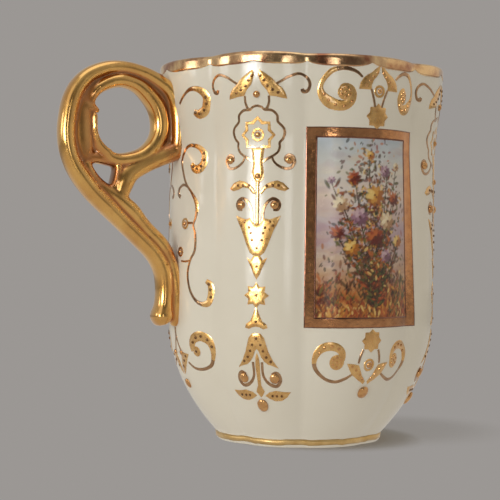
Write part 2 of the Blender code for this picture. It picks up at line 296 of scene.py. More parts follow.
# %% Porcelain glaze
glaze, shader = new_finish("porcelain_glaze", 0.12, 0)
cream = ramp(glaze, speckle(glaze, 55, 3), [(0.3, (0.76, 0.70, 0.57)), (0.7, (0.80, 0.745, 0.62))])
join(glaze, cream, shader.inputs["Base Color"])
uneven_gloss(glaze, shader, 160, 2, 0.09, 0.17)
ripple(glaze, shader, speckle(glaze, 140, 2), 0.00009)
print("glaze ready")

# %% Golds
GOLD = (0.87, 0.495, 0.125)
GOLD_WORN = (0.73, 0.37, 0.08)
# Red-brown painted shade for the handle's grooves and corners, and a deeper one for the deepest of them.
SHADE_BROWN = (0.54, 0.18, 0.035)
DEEP_SHADE_BROWN = (0.24, 0.08, 0.02)
COAT_ROUGHNESS = 0.1
COAT_IOR = 1.65


def gilt(name, light, dark, roughness, grain, coat=0.4, waves=0.00004):
    """Burnished gold under a clear coat. Its colour and its gloss vary in small patches."""
    material, shader = new_finish(name, roughness, 1)
    shader.inputs["Coat Weight"].default_value = coat
    shader.inputs["Coat Roughness"].default_value = COAT_ROUGHNESS
    shader.inputs["Coat IOR"].default_value = COAT_IOR
    colour = ramp(material, speckle(material, grain, 5), [(0.36, dark), (0.62, light)])
    join(material, colour, shader.inputs["Base Color"])
    uneven_gloss(material, shader, grain * 3, 4, roughness - 0.06, roughness + 0.1)
    ripple(material, shader, speckle(material, grain * 1.7, 3), waves)
    return material


rim_gold = gilt("rim_gold", (0.9, 0.61, 0.31), (0.36, 0.135, 0.06), 0.15, 260)
foot_gold = gilt("foot_gold", (0.80, 0.56, 0.24), (0.66, 0.42, 0.15), 0.4, 500)
frame_gold = gilt("frame_gold", (0.62, 0.295, 0.12), (0.48, 0.205, 0.08), 0.13, 600)
edge_bronze = gilt("frame_edge_bronze", (0.28, 0.11, 0.06), (0.18, 0.07, 0.04), 0.16, 600)
leaf_gold = gilt("raised_leaf_gold", (0.82, 0.495, 0.165), (0.65, 0.34, 0.09), 0.28, 700, 1)
line_gold = gilt("drawn_line_gold", (0.5, 0.295, 0.145), (0.33, 0.17, 0.075), 0.14, 900, 0.6)
bead_gold = gilt("bead_copper_gold", (0.76, 0.42, 0.16), (0.54, 0.26, 0.09), 0.15, 1200)
dot_bronze = gilt("tooled_dot_bronze", (0.24, 0.11, 0.03), (0.12, 0.05, 0.015), 0.3, 1500)
print("golds ready")

# %% [markdown]
# ## Porcelain body
# The body was cast thin, with a rounded lip, a full bowl at the bottom and a small foot ring. It is one
# half-section drawn from the middle of the underside to the middle of the floor inside, and spun round.

# %% Section of the body
LIP_RADIUS = 0.5
WALL = 2.2
FLOOR_TOP = 4.4
FLOOR_RADIUS = 14.0


def heights(low, high, count):
    """Even steps from low to high, both ends with them."""
    return [low + (high - low) * step / count for step in range(count + 1)]


def inner_radius(z):
    if z >= BOWL_TOP:
        return wall_radius(z) - WALL + (WALL - 2 * LIP_RADIUS) * share(z, FLARE_BOTTOM, HEIGHT)
    return FLOOR_RADIUS + (WAIST - WALL - FLOOR_RADIUS) * bowl(z, FLOOR_TOP)


def lip_arc(lift):
    """The rounded top of the lip, from the outside to the inside, at a distance off the glaze."""
    centre = wall_radius(HEIGHT - LIP_RADIUS) - LIP_RADIUS
    turns = heights(0, math.pi, 10)
    reach = LIP_RADIUS + lift
    return [(centre + reach * math.cos(t), HEIGHT - LIP_RADIUS + reach * math.sin(t)) for t in turns]


under = [(0, 1.5), (6, 1.5), (11.4, 1.45), (11.8, 1.2), (12.1, 0.3), (12.4, 0.05), (12.8, 0)]
foot = [(13.8, 0), (14.2, 0.06), (14.45, 0.3), (FOOT, 0.7)]
outside = [(wall_radius(z), z) for z in heights(FOOT_TOP, BOWL_TOP, 22)]
outside += [(wall_radius(z), z) for z in heights(BOWL_TOP, HEIGHT - LIP_RADIUS, 30)[1:]]
inside = [(inner_radius(z), z) for z in heights(HEIGHT - LIP_RADIUS, BOWL_TOP, 24)]
inside += [(inner_radius(z), z) for z in heights(BOWL_TOP, FLOOR_TOP, 18)[1:]]
floor_inside = [(13.3, 4.05), (11, 3.85), (6, 3.8), (0, 3.8)]

section = under + foot + outside + lip_arc(0)[1:-1] + inside + floor_inside
add_piece("porcelain_body", turned_shape(section, False), glaze, "porcelain", "cup_body")

# %% [markdown]
# ## Gilt edges
# A brush has gone round the lip and the foot. The lip's band dips lower twice on every lobe and its
# edge wavers, because a hand drew it. Each band is a thin closed film that hugs the glaze.

# %% Rim gilding
random.seed(4)
FILM = 0.07
FILM_ROOT = 0.05
BAND_OUTSIDE = 1.95
BAND_INSIDE = 1.7
EDGE_LOW = 2.4
EDGE_HIGH = 0.9
OUTER_FACE = RIM - 2.0
SCALLOP = 1.05
WAVER = 0.12
waver = [random.uniform(-WAVER, WAVER) for _ in range(48)]


def hand_waver(angle):
    """A smooth wandering of the brush's edge round the cup."""
    place = angle % math.tau / math.tau * len(waver)
    first = int(place) % len(waver)
    mix = place % 1
    mix = mix * mix * (3 - 2 * mix)
    return waver[first] * (1 - mix) + waver[(first + 1) % len(waver)] * mix


def rim_path(lift):
    """A line up the outside of the lip, over it and down the inside."""
    lip = HEIGHT - LIP_RADIUS
    outer = [(wall_radius(z) + lift, z) for z in heights(HEIGHT - BAND_OUTSIDE, lip, 5)[:-1]]
    inner = [(inner_radius(z) - lift, z) for z in heights(lip, HEIGHT - BAND_INSIDE, 4)[1:]]
    return outer + lip_arc(lift) + inner


shape = turned_shape(rim_path(FILM) + rim_path(-FILM_ROOT)[::-1], True)
for vertex in shape.verts:
    x, y, z = (vertex.co - AXIS) / MM
    angle = math.atan2(y, x)
    low_down = 1 - share(z, HEIGHT - EDGE_LOW, HEIGHT - EDGE_HIGH)
    if math.hypot(x, y) > OUTER_FACE and low_down > 0:
        scallop = SCALLOP * abs(2 * abs(across_lobe(angle)) - 1) ** 4
        vertex.co.z += (scallop + hand_waver(angle)) * low_down * MM
add_piece("rim_gold_band", shape, rim_gold, "rim_gilding", "rim_gilding")

# %% Foot gilding
LINE_LOW = 0.5
LINE_HIGH = 1.45
LINE_WAVER = 0.8
line_radius = wall_radius(LINE_HIGH)
band = [(FOOT + FILM, LINE_LOW), (line_radius + FILM, LINE_HIGH),
        (line_radius - 2 * FILM_ROOT, LINE_HIGH), (FOOT - 2 * FILM_ROOT, LINE_LOW)]
shape = turned_shape(band, True)
for vertex in shape.verts:
    x, y, _ = (vertex.co - AXIS) / MM
    vertex.co.z += LINE_WAVER * hand_waver(2 * math.atan2(y, x)) * MM
add_piece("foot_gold_band", shape, foot_gold, "foot_gilding", "foot_gilding")

# %% [markdown]
# ## Frames and painted panels
# Each wide lobe away from the handle carries an upright panel inside a flat gilt frame. The frame is a
# grid with its middle taken out, thickened and laid on the lobe. It was ruled by hand: its right side leans
# and is broader than its left side, and dark lines edge its borders. The panel is a fine grid of its own.

# %% Gilt frames
FRAME_LEFT = -10.2
FRAME_RIGHT = 10.4
LEAN = 2.1
FRAME_LOW = 20.4
FRAME_HIGH = 52.4
BORDER = 1.75
LEFT_BORDER = 1.9
RIGHT_BORDER = 2.5
BORDER_STEPS = (0, 0.03, 0.1, 0.5, 0.84, 0.97, 1)
BORDER_PROFILE = (0.02, 0.07, 0.07, 0.07, 0.07, 0.07, 0.02)
FRAME_ROOT = 0.08
BORDER_CELLS = len(BORDER_STEPS) - 1
EDGE_CELLS = (0, 1, 4, 5)
FRAME_COLUMNS = 44
FRAME_ROWS = 64
FACINGS = {"front": -math.pi / 2, "side": 0.0, "back": math.pi / 2}


def frame_place(step, count, low, high, first=BORDER, last=BORDER):
    """Where a grid line of the frame lies, with the outer cells sharing the width of the two borders."""
    if step <= BORDER_CELLS:
        return low + first * BORDER_STEPS[step]
    if step >= count - BORDER_CELLS:
        return high - last * BORDER_STEPS[count - step]
    span = high - low - first - last
    return low + first + span * (step - BORDER_CELLS) / (count - 2 * BORDER_CELLS)


def frame_side(z):
    """The right side of the frame leans outwards a little as it goes down."""
    return FRAME_RIGHT + LEAN * share(FRAME_HIGH - z, 0, FRAME_HIGH - FRAME_LOW)


def thickened(shape):
    """Give a flat sheet a second layer and return the vertices of that layer."""
    raised = bmesh.ops.extrude_face_region(shape, geom=shape.faces[:], use_keep_orig=True)
    return {item for item in raised["geom"] if isinstance(item, bmesh.types.BMVert)}


def frame_shape(facing):
    """A flat frame laid on a lobe. The cells along both edges of its border get the second material."""
    shape = bmesh.new()
    bmesh.ops.create_grid(shape, x_segments=FRAME_COLUMNS, y_segments=FRAME_ROWS, size=1)
    inner_x = 1 - 2 * BORDER_CELLS / FRAME_COLUMNS
    inner_y = 1 - 2 * BORDER_CELLS / FRAME_ROWS
    middle = [face for face in shape.faces
              if abs(face.calc_center_median().x) < inner_x and abs(face.calc_center_median().y) < inner_y]
    bmesh.ops.delete(shape, geom=middle, context="FACES")
    for face in shape.faces:
        x, y, _ = face.calc_center_median()
        inward = min((1 - abs(x)) / 2 * FRAME_COLUMNS, (1 - abs(y)) / 2 * FRAME_ROWS)
        face.material_index = int(inward) in EDGE_CELLS
    top = thickened(shape)
    for vertex in shape.verts:
        column = round((vertex.co.x + 1) / 2 * FRAME_COLUMNS)
        row = round((vertex.co.y + 1) / 2 * FRAME_ROWS)
        inward = min(column, FRAME_COLUMNS - column, row, FRAME_ROWS - row, BORDER_CELLS)
        z = frame_place(row, FRAME_ROWS, FRAME_LOW, FRAME_HIGH)
        along = frame_place(column, FRAME_COLUMNS, FRAME_LEFT, frame_side(z), LEFT_BORDER, RIGHT_BORDER)
        vertex.co = on_lobe(facing, along, z, BORDER_PROFILE[inward] if vertex in top else -FRAME_ROOT)
    bmesh.ops.recalc_face_normals(shape, faces=shape.faces)
    return shape


for side, facing in FACINGS.items():
    shape = frame_shape(facing)
    piece = add_piece(f"gilt_frame_{side}", shape, frame_gold, "frame_gilding", f"picture_frame_{side}")
    piece.data.materials.append(edge_bronze)

# %% [markdown]
# The panels hold a general flower spray in the palette of old enamel painting: rust, ochre, olive and
# mauve on a sky that fades from pale blue to cream. A painter lays such a thing down in small soft dabs
# of the brush, so the colours here are dabs too, mixed over one another on the panel's grid.

# %% Brush dabs
PANEL_COLUMNS = 140
PANEL_ROWS = 236
DAB_REACH = 1.15
DAB_EDGE = 0.35


def tint(red, green, blue):
    """A colour as a painter's chart gives it, from 0 to 255, in the light units of a shader."""
    levels = np.array((red, green, blue)) / 255
    return np.where(levels <= 0.04045, levels / 12.92, ((levels + 0.055) / 1.055) ** 2.4)


class Painting:
    """Colours on a fine grid over a panel. Places are in millimetres from the middle of the lower edge."""

    def __init__(self, wide, high, seed):
        self.across = np.linspace(-wide / 2, wide / 2, PANEL_COLUMNS + 1)
        self.up = np.linspace(0, high, PANEL_ROWS + 1)
        self.hand = random.Random(seed)
        self.colours = np.zeros((PANEL_ROWS + 1, PANEL_COLUMNS + 1, 3))

    def wash(self, stops):
        """Colour the whole panel in level bands that run into each other."""
        levels = [level for level, _ in stops]
        for channel in range(3):
            self.colours[:, :, channel] = np.interp(self.up, levels, [c[channel] for _, c in stops])[:, None]

    def dab(self, x, y, long, wide, turn, colour, cover):
        """Mix a colour over an oval with a soft edge. Cover says how much of what lies under it is hidden."""
        near = DAB_REACH * max(long, wide)
        columns = slice(*np.searchsorted(self.across, (x - near, x + near)))
        rows = slice(*np.searchsorted(self.up, (y - near, y + near)))
        dx = self.across[None, columns] - x
        dy = self.up[rows, None] - y
        ahead = (dx * math.cos(turn) + dy * math.sin(turn)) / long
        beside = (dy * math.cos(turn) - dx * math.sin(turn)) / wide
        weight = cover * np.clip((DAB_REACH - np.hypot(ahead, beside)) / DAB_EDGE, 0, 1)[:, :, None]
        self.colours[rows, columns] += (colour - self.colours[rows, columns]) * weight

    def wander(self, value, spread):
        return value + self.hand.uniform(-spread, spread)


print("palette test", [round(float(level), 3) for level in tint(150, 95, 60)])

# %% Flowers, leaves and stems
RUST = [tint(182, 98, 48), tint(146, 62, 34), tint(96, 38, 28)]
OCHRE = [tint(226, 190, 112), tint(204, 146, 62), tint(164, 98, 40)]
MAUVE = [tint(196, 166, 168), tint(160, 122, 136), tint(116, 80, 94)]
CREAM = [tint(232, 216, 180), tint(214, 186, 146), tint(168, 128, 92)]
OLIVE = [tint(104, 98, 48), tint(66, 66, 38), tint(42, 42, 30)]
BROWN = [tint(122, 74, 42), tint(88, 50, 32), tint(64, 36, 28)]
ROOT_X = 1.2
ROOT_Y = 1.5
STEM_STEPS = 60


def paint_leaf(work, x, y, size, turn):
    tones = work.hand.choice((OLIVE, OLIVE, BROWN, RUST))
    for tone in (tones[2], tones[1], tones[0]):
        work.dab(work.wander(x, 0.12 * size), work.wander(y, 0.12 * size), size, 0.34 * size,
                 work.wander(turn, 0.2), tone, 0.6)
        size *= 0.75


def paint_flower(work, x, y, size, tones):
    """Three rings of petals, light at the upper left and dark at the lower right."""
    start = work.hand.uniform(0, math.tau)
    for petals, reach in ((9, 0.72), (7, 0.48), (5, 0.24)):
        for petal in range(petals):
            turn = start + (petal + reach) * math.tau / petals
            shade = 1.2 + 1.2 * math.cos(turn + math.pi / 4) + work.hand.uniform(-0.7, 0.7)
            tone = tones[min(2, max(0, round(shade)))]
            work.dab(x + reach * size * math.cos(turn), y + 0.85 * reach * size * math.sin(turn),
                     0.34 * size, 0.22 * size, turn, tone, 0.8)
    for _ in range(4):
        work.dab(work.wander(x, 0.12 * size), work.wander(y, 0.12 * size), 0.14, 0.12, 0, BROWN[1], 0.8)


def paint_stem(work, x, y, lean):
    """A stem that rises from the foot of the spray to a flower, with leaves in pairs on its way."""
    for step in range(STEM_STEPS + 1):
        part = step / STEM_STEPS
        sx = ROOT_X + (x - ROOT_X) * part ** 1.5 + lean * math.sin(math.pi * part)
        sy = ROOT_Y + (y - ROOT_Y) * part
        work.dab(sx, sy, 0.3, 0.11, math.pi / 2, work.hand.choice(BROWN + OLIVE), 0.8)
        if step % 6 == 3:
            turn = work.hand.uniform(0.2, 1.0)
            size = work.hand.uniform(0.45, 1.0)
            paint_leaf(work, sx + size, sy + 0.5, size, turn)
            paint_leaf(work, sx - size, sy + 0.3, size, math.pi - turn)


print("flower brushes ready")

# %% Painted panels
TUCKED_UNDER = 0.15
PANEL_LEFT = FRAME_LEFT + LEFT_BORDER - TUCKED_UNDER
PANEL_LOW = FRAME_LOW + BORDER - TUCKED_UNDER
PANEL_HIGH = FRAME_HIGH - BORDER + TUCKED_UNDER
PANEL_LIFT = 0.035
PANEL_SKIRT = 0.12
PAINTED_WIDTH = 18
HAZE_DABS = 260
GRASS_DABS = 900
LEAF_DABS = 1100
SKY_TO_GROUND = [
    (0, tint(146, 86, 38)), (4, tint(174, 116, 62)), (8, tint(182, 146, 116)), (14, tint(176, 150, 156)),
    (19, tint(212, 190, 174)), (24, tint(206, 202, 190)), (29, tint(176, 186, 192)),
]
HAZE = MAUVE[:2] + CREAM[:2] + [tint(200, 206, 212)]
# The flowers, as (across, up, size, tones, lean of the stem).
SPRAY = [(-2.4, 22.4, 1.3, RUST, -0.6), (3.8, 23.6, 1.2, MAUVE, 0.5), (1.5, 19.6, 1.7, OCHRE, 0.2),
         (-4.8, 18.2, 1.3, CREAM, -0.5), (5.8, 19.2, 1.3, RUST, 0.6), (0.7, 26.0, 1.0, OCHRE, -0.3),
         (-1.5, 16.2, 1.5, MAUVE, -0.3), (4.0, 15.6, 1.5, CREAM, 0.3), (-5.4, 13.6, 1.2, RUST, -0.7),
         (1.4, 13.0, 1.6, RUST, 0.2), (6.6, 12.4, 1.1, OCHRE, 0.5), (-3.0, 11.2, 1.3, OCHRE, -0.4),
         (-6.4, 22.0, 0.8, MAUVE, -0.9), (6.6, 24.4, 0.8, CREAM, 0.8), (3.6, 10.0, 1.2, MAUVE, 0.2)]


def paint_spray(high, seed):
    """Sky and haze, grass, the stems of the spray, a scatter of small leaves, and the flowers last."""
    work = Painting(PAINTED_WIDTH, high, seed)
    edge = PAINTED_WIDTH / 2
    work.wash(SKY_TO_GROUND)
    for _ in range(HAZE_DABS):
        work.dab(work.hand.uniform(-edge, edge), work.hand.uniform(6, 30), work.hand.uniform(0.8, 2.6), 0.6,
                 work.wander(0, 0.3), work.hand.choice(HAZE), 0.12)
    for _ in range(GRASS_DABS):
        x = work.hand.uniform(-edge, edge)
        y = abs(work.hand.gauss(0, 3.0 + 2.0 * math.exp(-((x - 1) / 4) ** 2)))
        size = work.hand.uniform(0.25, 0.8)
        tones = OCHRE + RUST if y < work.hand.uniform(0, 4) else OLIVE + BROWN + RUST
        work.dab(x, y, size, 0.3 * size, work.hand.uniform(0.7, 2.4), work.hand.choice(tones), 0.7)
    for x, y, _, _, lean in SPRAY:
        paint_stem(work, work.wander(x, 0.4), work.wander(y, 0.4), lean)
    for _ in range(LEAF_DABS):
        x = work.hand.gauss(1, 3.2)
        y = work.hand.gauss(15, 6.0)
        size = work.hand.uniform(0.2, 0.5)
        tones = work.hand.choice((OLIVE, OLIVE, BROWN, BROWN, RUST, OCHRE))
        work.dab(x, y, size, 0.5 * size, work.hand.uniform(0, math.pi), work.hand.choice(tones), 0.7)
    for x, y, size, tones, _ in SPRAY:
        paint_flower(work, x, y, work.wander(size, 0.15), tones)
    return work.colours


def panel_shape(facing, seed):
    """A fine grid on a lobe that carries the painting's colours, with a skirt down into the glaze."""
    shape = bmesh.new()
    bmesh.ops.create_grid(shape, x_segments=PANEL_COLUMNS, y_segments=PANEL_ROWS, size=1)
    colours = paint_spray(PANEL_HIGH - PANEL_LOW, seed)
    layer = shape.verts.layers.float_color.new("painting")
    for vertex in shape.verts:
        across = (vertex.co.x + 1) / 2
        up = (vertex.co.y + 1) / 2
        vertex[layer] = (*colours[round(up * PANEL_ROWS), round(across * PANEL_COLUMNS)], 1)
        z = PANEL_LOW + (PANEL_HIGH - PANEL_LOW) * up
        right = frame_side(z) - RIGHT_BORDER + TUCKED_UNDER
        vertex.co = on_lobe(facing, PANEL_LEFT + (right - PANEL_LEFT) * across, z, PANEL_LIFT)
    edge = [item for item in shape.edges if item.is_boundary]
    skirt = bmesh.ops.extrude_edge_only(shape, edges=edge)["geom"]
    for item in skirt:
        if isinstance(item, bmesh.types.BMVert):
            inward = AXIS - item.co
            inward.z = 0
            item.co += inward.normalized() * PANEL_SKIRT * MM
    bmesh.ops.recalc_face_normals(shape, faces=shape.faces)
    return shape


painted, shader = new_finish("painted_panel", 0.2, 0)
colours = add_node(painted, "ShaderNodeAttribute", attribute_name="painting")
join(painted, colours.outputs["Color"], shader.inputs["Base Color"])
uneven_gloss(painted, shader, 900, 3, 0.14, 0.3)
ripple(painted, shader, speckle(painted, 700, 3), 0.00004)
for seed, (side, facing) in enumerate(FACINGS.items(), 11):
    panel = panel_shape(facing, seed)
    add_piece(f"flower_panel_{side}", panel, painted, "painted_panel", f"picture_panel_{side}")

# %% [markdown]
# ## Scroll handle
# The handle was modelled from rolls of clay: a strap that starts at the wall, goes over the top and runs
# down to a bulb, a ring inside it, a branch below and a ridge beside the tail. The rolls are drawn as
# tubes in the handle's plane, joined, and melted together by remeshing, which leaves soft grooves. The
# grooves and corners are found and marked, and the gold there gets red-brown painted shade. What is sunk in
# the wall is kept half a millimetre under the glaze, so that nothing shows inside the cup.

# %% Rolls of the handle


def smooth_line(points, closed=False, steps=7):
    """A flowing line through drawn points, such as (across, up, half width)."""
    count = len(points)
    route = []
    for span in range(count if closed else count - 1):
        near = [points[(span + k) % count] if closed else points[min(max(span + k, 0), count - 1)]
                for k in (-1, 0, 1, 2)]
        for t in (step / steps for step in range(steps)):
            route.append(tuple(
                b + 0.5 * t * (c - a + t * (2 * a - 5 * b + 4 * c - d + t * (3 * b - a - 3 * c + d)))
                for a, b, c, d in zip(*near)))
    return route if closed else route + [points[-1]]


# The rolls, as (out from the axis, up, half width).
STRAP = [(23.3, 49.4, 1.5), (23.1, 52.0, 1.65), (23.2, 54.5, 1.65), (23.8, 57.0, 1.55), (25.0, 59.1, 1.4),
         (27.2, 60.7, 1.25), (30.0, 61.9, 1.15), (33.2, 62.5, 1.1), (36.5, 62.1, 1.2), (39.7, 60.4, 1.3),
         (41.8, 57.3, 1.4), (42.7, 53.0, 1.4), (42.6, 49.5, 1.4), (41.7, 46.6, 1.4), (40.2, 44.2, 1.5),
         (38.1, 41.7, 1.5), (35.7, 39.5, 1.5), (33.1, 37.1, 1.4), (30.1, 34.4, 1.4), (27.4, 31.8, 1.4),
         (25.9, 29.2, 1.4), (25.5, 26.8, 1.35), (25.5, 24.6, 1.35), (25.6, 23.0, 1.45), (25.8, 21.4, 1.8),
         (25.8, 20.4, 1.4), (25.7, 19.9, 0.8)]
RING = [(34.2, 60.3, 1.2), (31.6, 60.0, 1.2), (29.5, 58.8, 1.3), (27.3, 56.2, 1.45), (26.6, 53.2, 1.45),
        (27.2, 50.6, 1.4), (29.2, 48.5, 1.3), (31.8, 47.5, 1.2), (34.6, 47.4, 1.1), (37.5, 49.4, 0.8),
        (38.25, 52.4, 0.6), (38.5, 54.9, 0.6), (38.6, 57.0, 0.8), (37.2, 59.0, 1.05)]
BAND = [(36.8, 60.5, 0.9), (38.6, 59.0, 1.3), (39.9, 56.8, 1.6), (40.2, 54.0, 1.9), (40.1, 51.0, 2.0),
        (39.9, 48.9, 1.8), (39.8, 47.2, 1.5), (39.2, 45.8, 1.0)]
GUSSET = [(39.2, 47.4, 0.9), (37.4, 47.4, 0.95), (35.4, 46.9, 0.8), (34.0, 46.6, 0.8)]
RIDGE = [(39.5, 46.6, 0.9), (38.4, 44.7, 0.9), (36.9, 43.0, 1.0), (34.6, 41.3, 1.2), (32.9, 40.1, 1.4),
         (31.4, 38.8, 1.45), (30.1, 37.3, 1.35), (28.7, 35.8, 1.3), (26.0, 33.1, 1.35), (24.2, 29.6, 1.2),
         (23.5, 26.0, 1.2), (23.4, 23.0, 1.15), (23.4, 21.2, 1.0), (23.45, 20.2, 0.8), (23.5, 19.6, 0.4)]
BRANCH = [(22.6, 49.5, 1.7), (26.5, 48.0, 1.65), (29.5, 46.6, 1.65), (31.8, 45.2, 1.75), (33.0, 43.4, 1.85),
          (33.6, 41.4, 1.6)]
STRUT = [(34.0, 46.3, 0.7), (34.3, 44.6, 0.65), (34.7, 43.0, 0.65), (35.3, 41.6, 0.6)]
WEB = [(36.5, 60.2, 0.9), (33.0, 61.2, 0.9), (30.0, 60.5, 1.2), (27.8, 59.2, 1.3), (26.2, 57.2, 1.2),
       (25.3, 54.8, 1.0), (25.2, 52.0, 1.0), (26.0, 49.8, 1.0)]
TIP = [(39.6, 55.9, 1.0), (38.4, 55.5, 0.85), (37.6, 55.2, 0.6), (37.1, 55.05, 0.35)]
HOLE_EDGE = [(38.05, 54.6, 0.35), (38.1, 53.0, 0.4), (38.0, 51.5, 0.4), (37.5, 50.2, 0.45), (36.6, 49.1, 0.5),
             (35.4, 48.3, 0.5)]
print("strap runs", len(smooth_line(STRAP)), "steps")

# %% Tubes from lines
ROLL_ROUNDNESS = 14
ROLL_DEPTH = 1.9
ROLL_FLATTENING = 0.3


def final_mesh(holder):
    """The mesh of an object after its modifiers, or of a curve after its bevel. The object is removed."""
    scene.collection.objects.link(holder)
    bpy.context.view_layer.update()
    mesh = bpy.data.meshes.new_from_object(holder.evaluated_get(bpy.context.evaluated_depsgraph_get()))
    bpy.data.objects.remove(holder, do_unlink=True)
    return mesh


def take_in(shape, mesh):
    """Add a mesh to a bmesh and remove the mesh."""
    shape.from_mesh(mesh)
    bpy.data.meshes.remove(mesh)


def tubes(routes, roundness, closed=False):
    """A mesh of tubes with filled ends along routes of (x, y, z, half width)."""
    curve = bpy.data.curves.new("tubes", "CURVE")
    curve.dimensions = "3D"
    curve.bevel_depth = 1
    curve.bevel_resolution = roundness
    curve.use_fill_caps = True
    for route in routes:
        spline = curve.splines.new("POLY")
        spline.points.add(len(route) - 1)
        spline.use_cyclic_u = closed
        for point, (x, y, z, half) in zip(spline.points, route):
            point.co = (x, y, z, 1)
            point.radius = half
    mesh = final_mesh(bpy.data.objects.new("tubes", curve))
    bpy.data.curves.remove(curve)
    return mesh


def roll_mesh(shape, points, flatness=1.0, aside=0.0, closed=False):
    """Add a tube along a route of (out, up, half width), deeper across the handle than it is wide."""
    route = [(-out, 0, up, half) for out, up, half in smooth_line(points, closed)]
    mesh = tubes([route], ROLL_ROUNDNESS, closed)
    for vertex in mesh.vertices:
        x, y, z = vertex.co
        y = aside + flatness * y * (ROLL_DEPTH - ROLL_FLATTENING * abs(y))
        vertex.co = AXIS + Vector((x, y, z)) * MM
    take_in(shape, mesh)


print("tubes ready")

# %% Melt the rolls together
VOXEL = 0.18
rolls = bmesh.new()
roll_mesh(rolls, STRAP)
roll_mesh(rolls, RING, closed=True)
roll_mesh(rolls, BAND, 0.55)
roll_mesh(rolls, GUSSET, 0.8)
roll_mesh(rolls, RIDGE)
roll_mesh(rolls, BRANCH, 0.8)
roll_mesh(rolls, STRUT, 1.5)
roll_mesh(rolls, WEB, 0.55)
roll_mesh(rolls, TIP, 0.9)
for aside in (-1.2, 1.2):
    roll_mesh(rolls, HOLE_EDGE, 0.6, aside)
bmesh.ops.remove_doubles(rolls, verts=rolls.verts, dist=1e-7)
bmesh.ops.recalc_face_normals(rolls, faces=rolls.faces)
holder = bpy.data.objects.new("rolls", mesh_of(rolls, "rolls"))
melt = holder.modifiers.new("melt", "REMESH")
melt.mode = "VOXEL"
melt.voxel_size = VOXEL * MM
melted = final_mesh(holder)
print("melted handle has", len(melted.polygons), "faces")

# %% Painted shade in the hollows of the handle
ROUNDS = 14
# Grooves that get painted shade, as (rounds of softening, depth), and corners darkened with painted shade, as
# (out, up, reach, strength).
SHADED_GROOVES = [(14, 0.06), (60, 0.2)]
SHADED_CORNERS = [(35.9, 44.6, 2.4, 1.7), (24.4, 32.0, 2.2, 1), (24.3, 49.0, 2.6, 1)]
SIDE_SHADE = 0.6
SIDE_DEEP = 1.1
SIDE_FULL = 1.75
handle_shape = bmesh.new()
take_in(handle_shape, melted)


def soften(shape, rounds):
    for _ in range(rounds):
        bmesh.ops.smooth_vert(
            shape, verts=shape.verts, factor=0.5, use_axis_x=True, use_axis_y=True, use_axis_z=True,
        )


# How much painted shade a vertex gets starts from how deep it lies in a groove, fine or broad.
# The flat sides and the corners add more painted shade to it.
soften(handle_shape, ROUNDS)
handle_shape.normal_update()
layer = handle_shape.verts.layers.float.new("painted_shade")
softer = handle_shape.copy()
for rounds, depth in SHADED_GROOVES:
    soften(softer, rounds)
    for vertex, soft in zip(handle_shape.verts, softer.verts):
        vertex[layer] += min(1.0, max(0.0, (soft.co - vertex.co).dot(vertex.normal) / (depth * MM))) / 2
softer.free()
for vertex in handle_shape.verts:
    x, y, z = (vertex.co - AXIS) / MM
    sideways = vertex.normal.y ** 2
    vertex[layer] += SIDE_SHADE * sideways * (1 - share(abs(y), SIDE_DEEP, SIDE_FULL))
    for out, up, reach, strength in SHADED_CORNERS:
        near = 1 - share(math.hypot(x + out, z - up), 0.4 * reach, reach)
        vertex[layer] += strength * (1 - SIDE_SHADE * sideways) * near
    vertex[layer] /= 2
print("deepest recess", round(max(vertex[layer] for vertex in handle_shape.verts), 2))

# %% Bury the roots of the handle
BURIED = 0.5
for vertex in handle_shape.verts:
    x, y, z = (vertex.co - AXIS) / MM
    buried = wall_point(math.atan2(y, x), wall_radius(z) - BURIED, z)
    if math.hypot(x, y) * MM < math.hypot(buried.x - AXIS.x, buried.y - AXIS.y):
        vertex.co.xy = buried.xy
print("roots kept", BURIED, "mm under the glaze")

# %% Handle finish
handle_gold = gilt("handle_gold", GOLD, GOLD_WORN, 0.19, 200, 0.8, 0.00002)
shader = handle_gold.node_tree.nodes["Principled BSDF"]
colour = shader.inputs["Base Color"].links[0].from_socket
gloss = shader.inputs["Roughness"].links[0].from_socket
# The attribute marked on the handle mixes red-brown painted shade into its gold in the grooves and corners,
# and makes the gold duller there.
painted_shade = add_node(handle_gold, "ShaderNodeAttribute", attribute_name="painted_shade").outputs["Fac"]
mix = add_node(handle_gold, "ShaderNodeMix", data_type="RGBA")
dull = add_node(handle_gold, "ShaderNodeMath", operation="MAXIMUM")
join(handle_gold, ramp(handle_gold, painted_shade, [(0.02, grey(0)), (0.3, grey(0.9))]), mix.inputs["Factor"])
join(handle_gold, colour, mix.inputs[6])
join(handle_gold, ramp(handle_gold, painted_shade, [(0.3, SHADE_BROWN), (0.75, DEEP_SHADE_BROWN)]), mix.inputs[7])
join(handle_gold, mix.outputs[2], shader.inputs["Base Color"])
join(handle_gold, gloss, dull.inputs[0])
join(handle_gold, ramp(handle_gold, painted_shade, [(0.02, grey(0)), (0.3, grey(0.36))]), dull.inputs[1])
join(handle_gold, dull.outputs[0], shader.inputs["Roughness"])
add_piece("scroll_handle", handle_shape, handle_gold, "handle_gilding", "handle")

# %% [markdown]
# ## Raised gold ornament
# The gold on the lobes is raised work: a paste is piped and brushed on, fired, gilded and then tooled
# with dots. It is drawn flat first, half of each design, as lines with a changing width, filled leaves,
# beads and dots. A point is given as (across, up) from the lobe's crown and the foot, with a half width on
# a line and a radius on a bead. The drawing is mirrored, raised a little, and then wrapped on to each lobe.

# %% Drawing tools


def mirrored(points):
    """The same points on the other side of the middle line."""
    return [(-point[0], *point[1:]) for point in points]


def whole(half):
    """A closed outline from its right half, listed from the top to the bottom."""
    left = [(-x, y) for x, y in reversed(half) if x > 0.05]
    return half + left


def star(x, y, long, short, points=8):
    """The outline of a star, or of a round leaf where both of its reaches are the same."""
    turns = [(math.pi * step / points, long if step % 2 == 0 else short) for step in range(2 * points)]
    return [(x + reach * math.sin(turn), y + reach * math.cos(turn)) for turn, reach in turns]


print("star has", len(star(0, 0, 2, 1)), "corners")

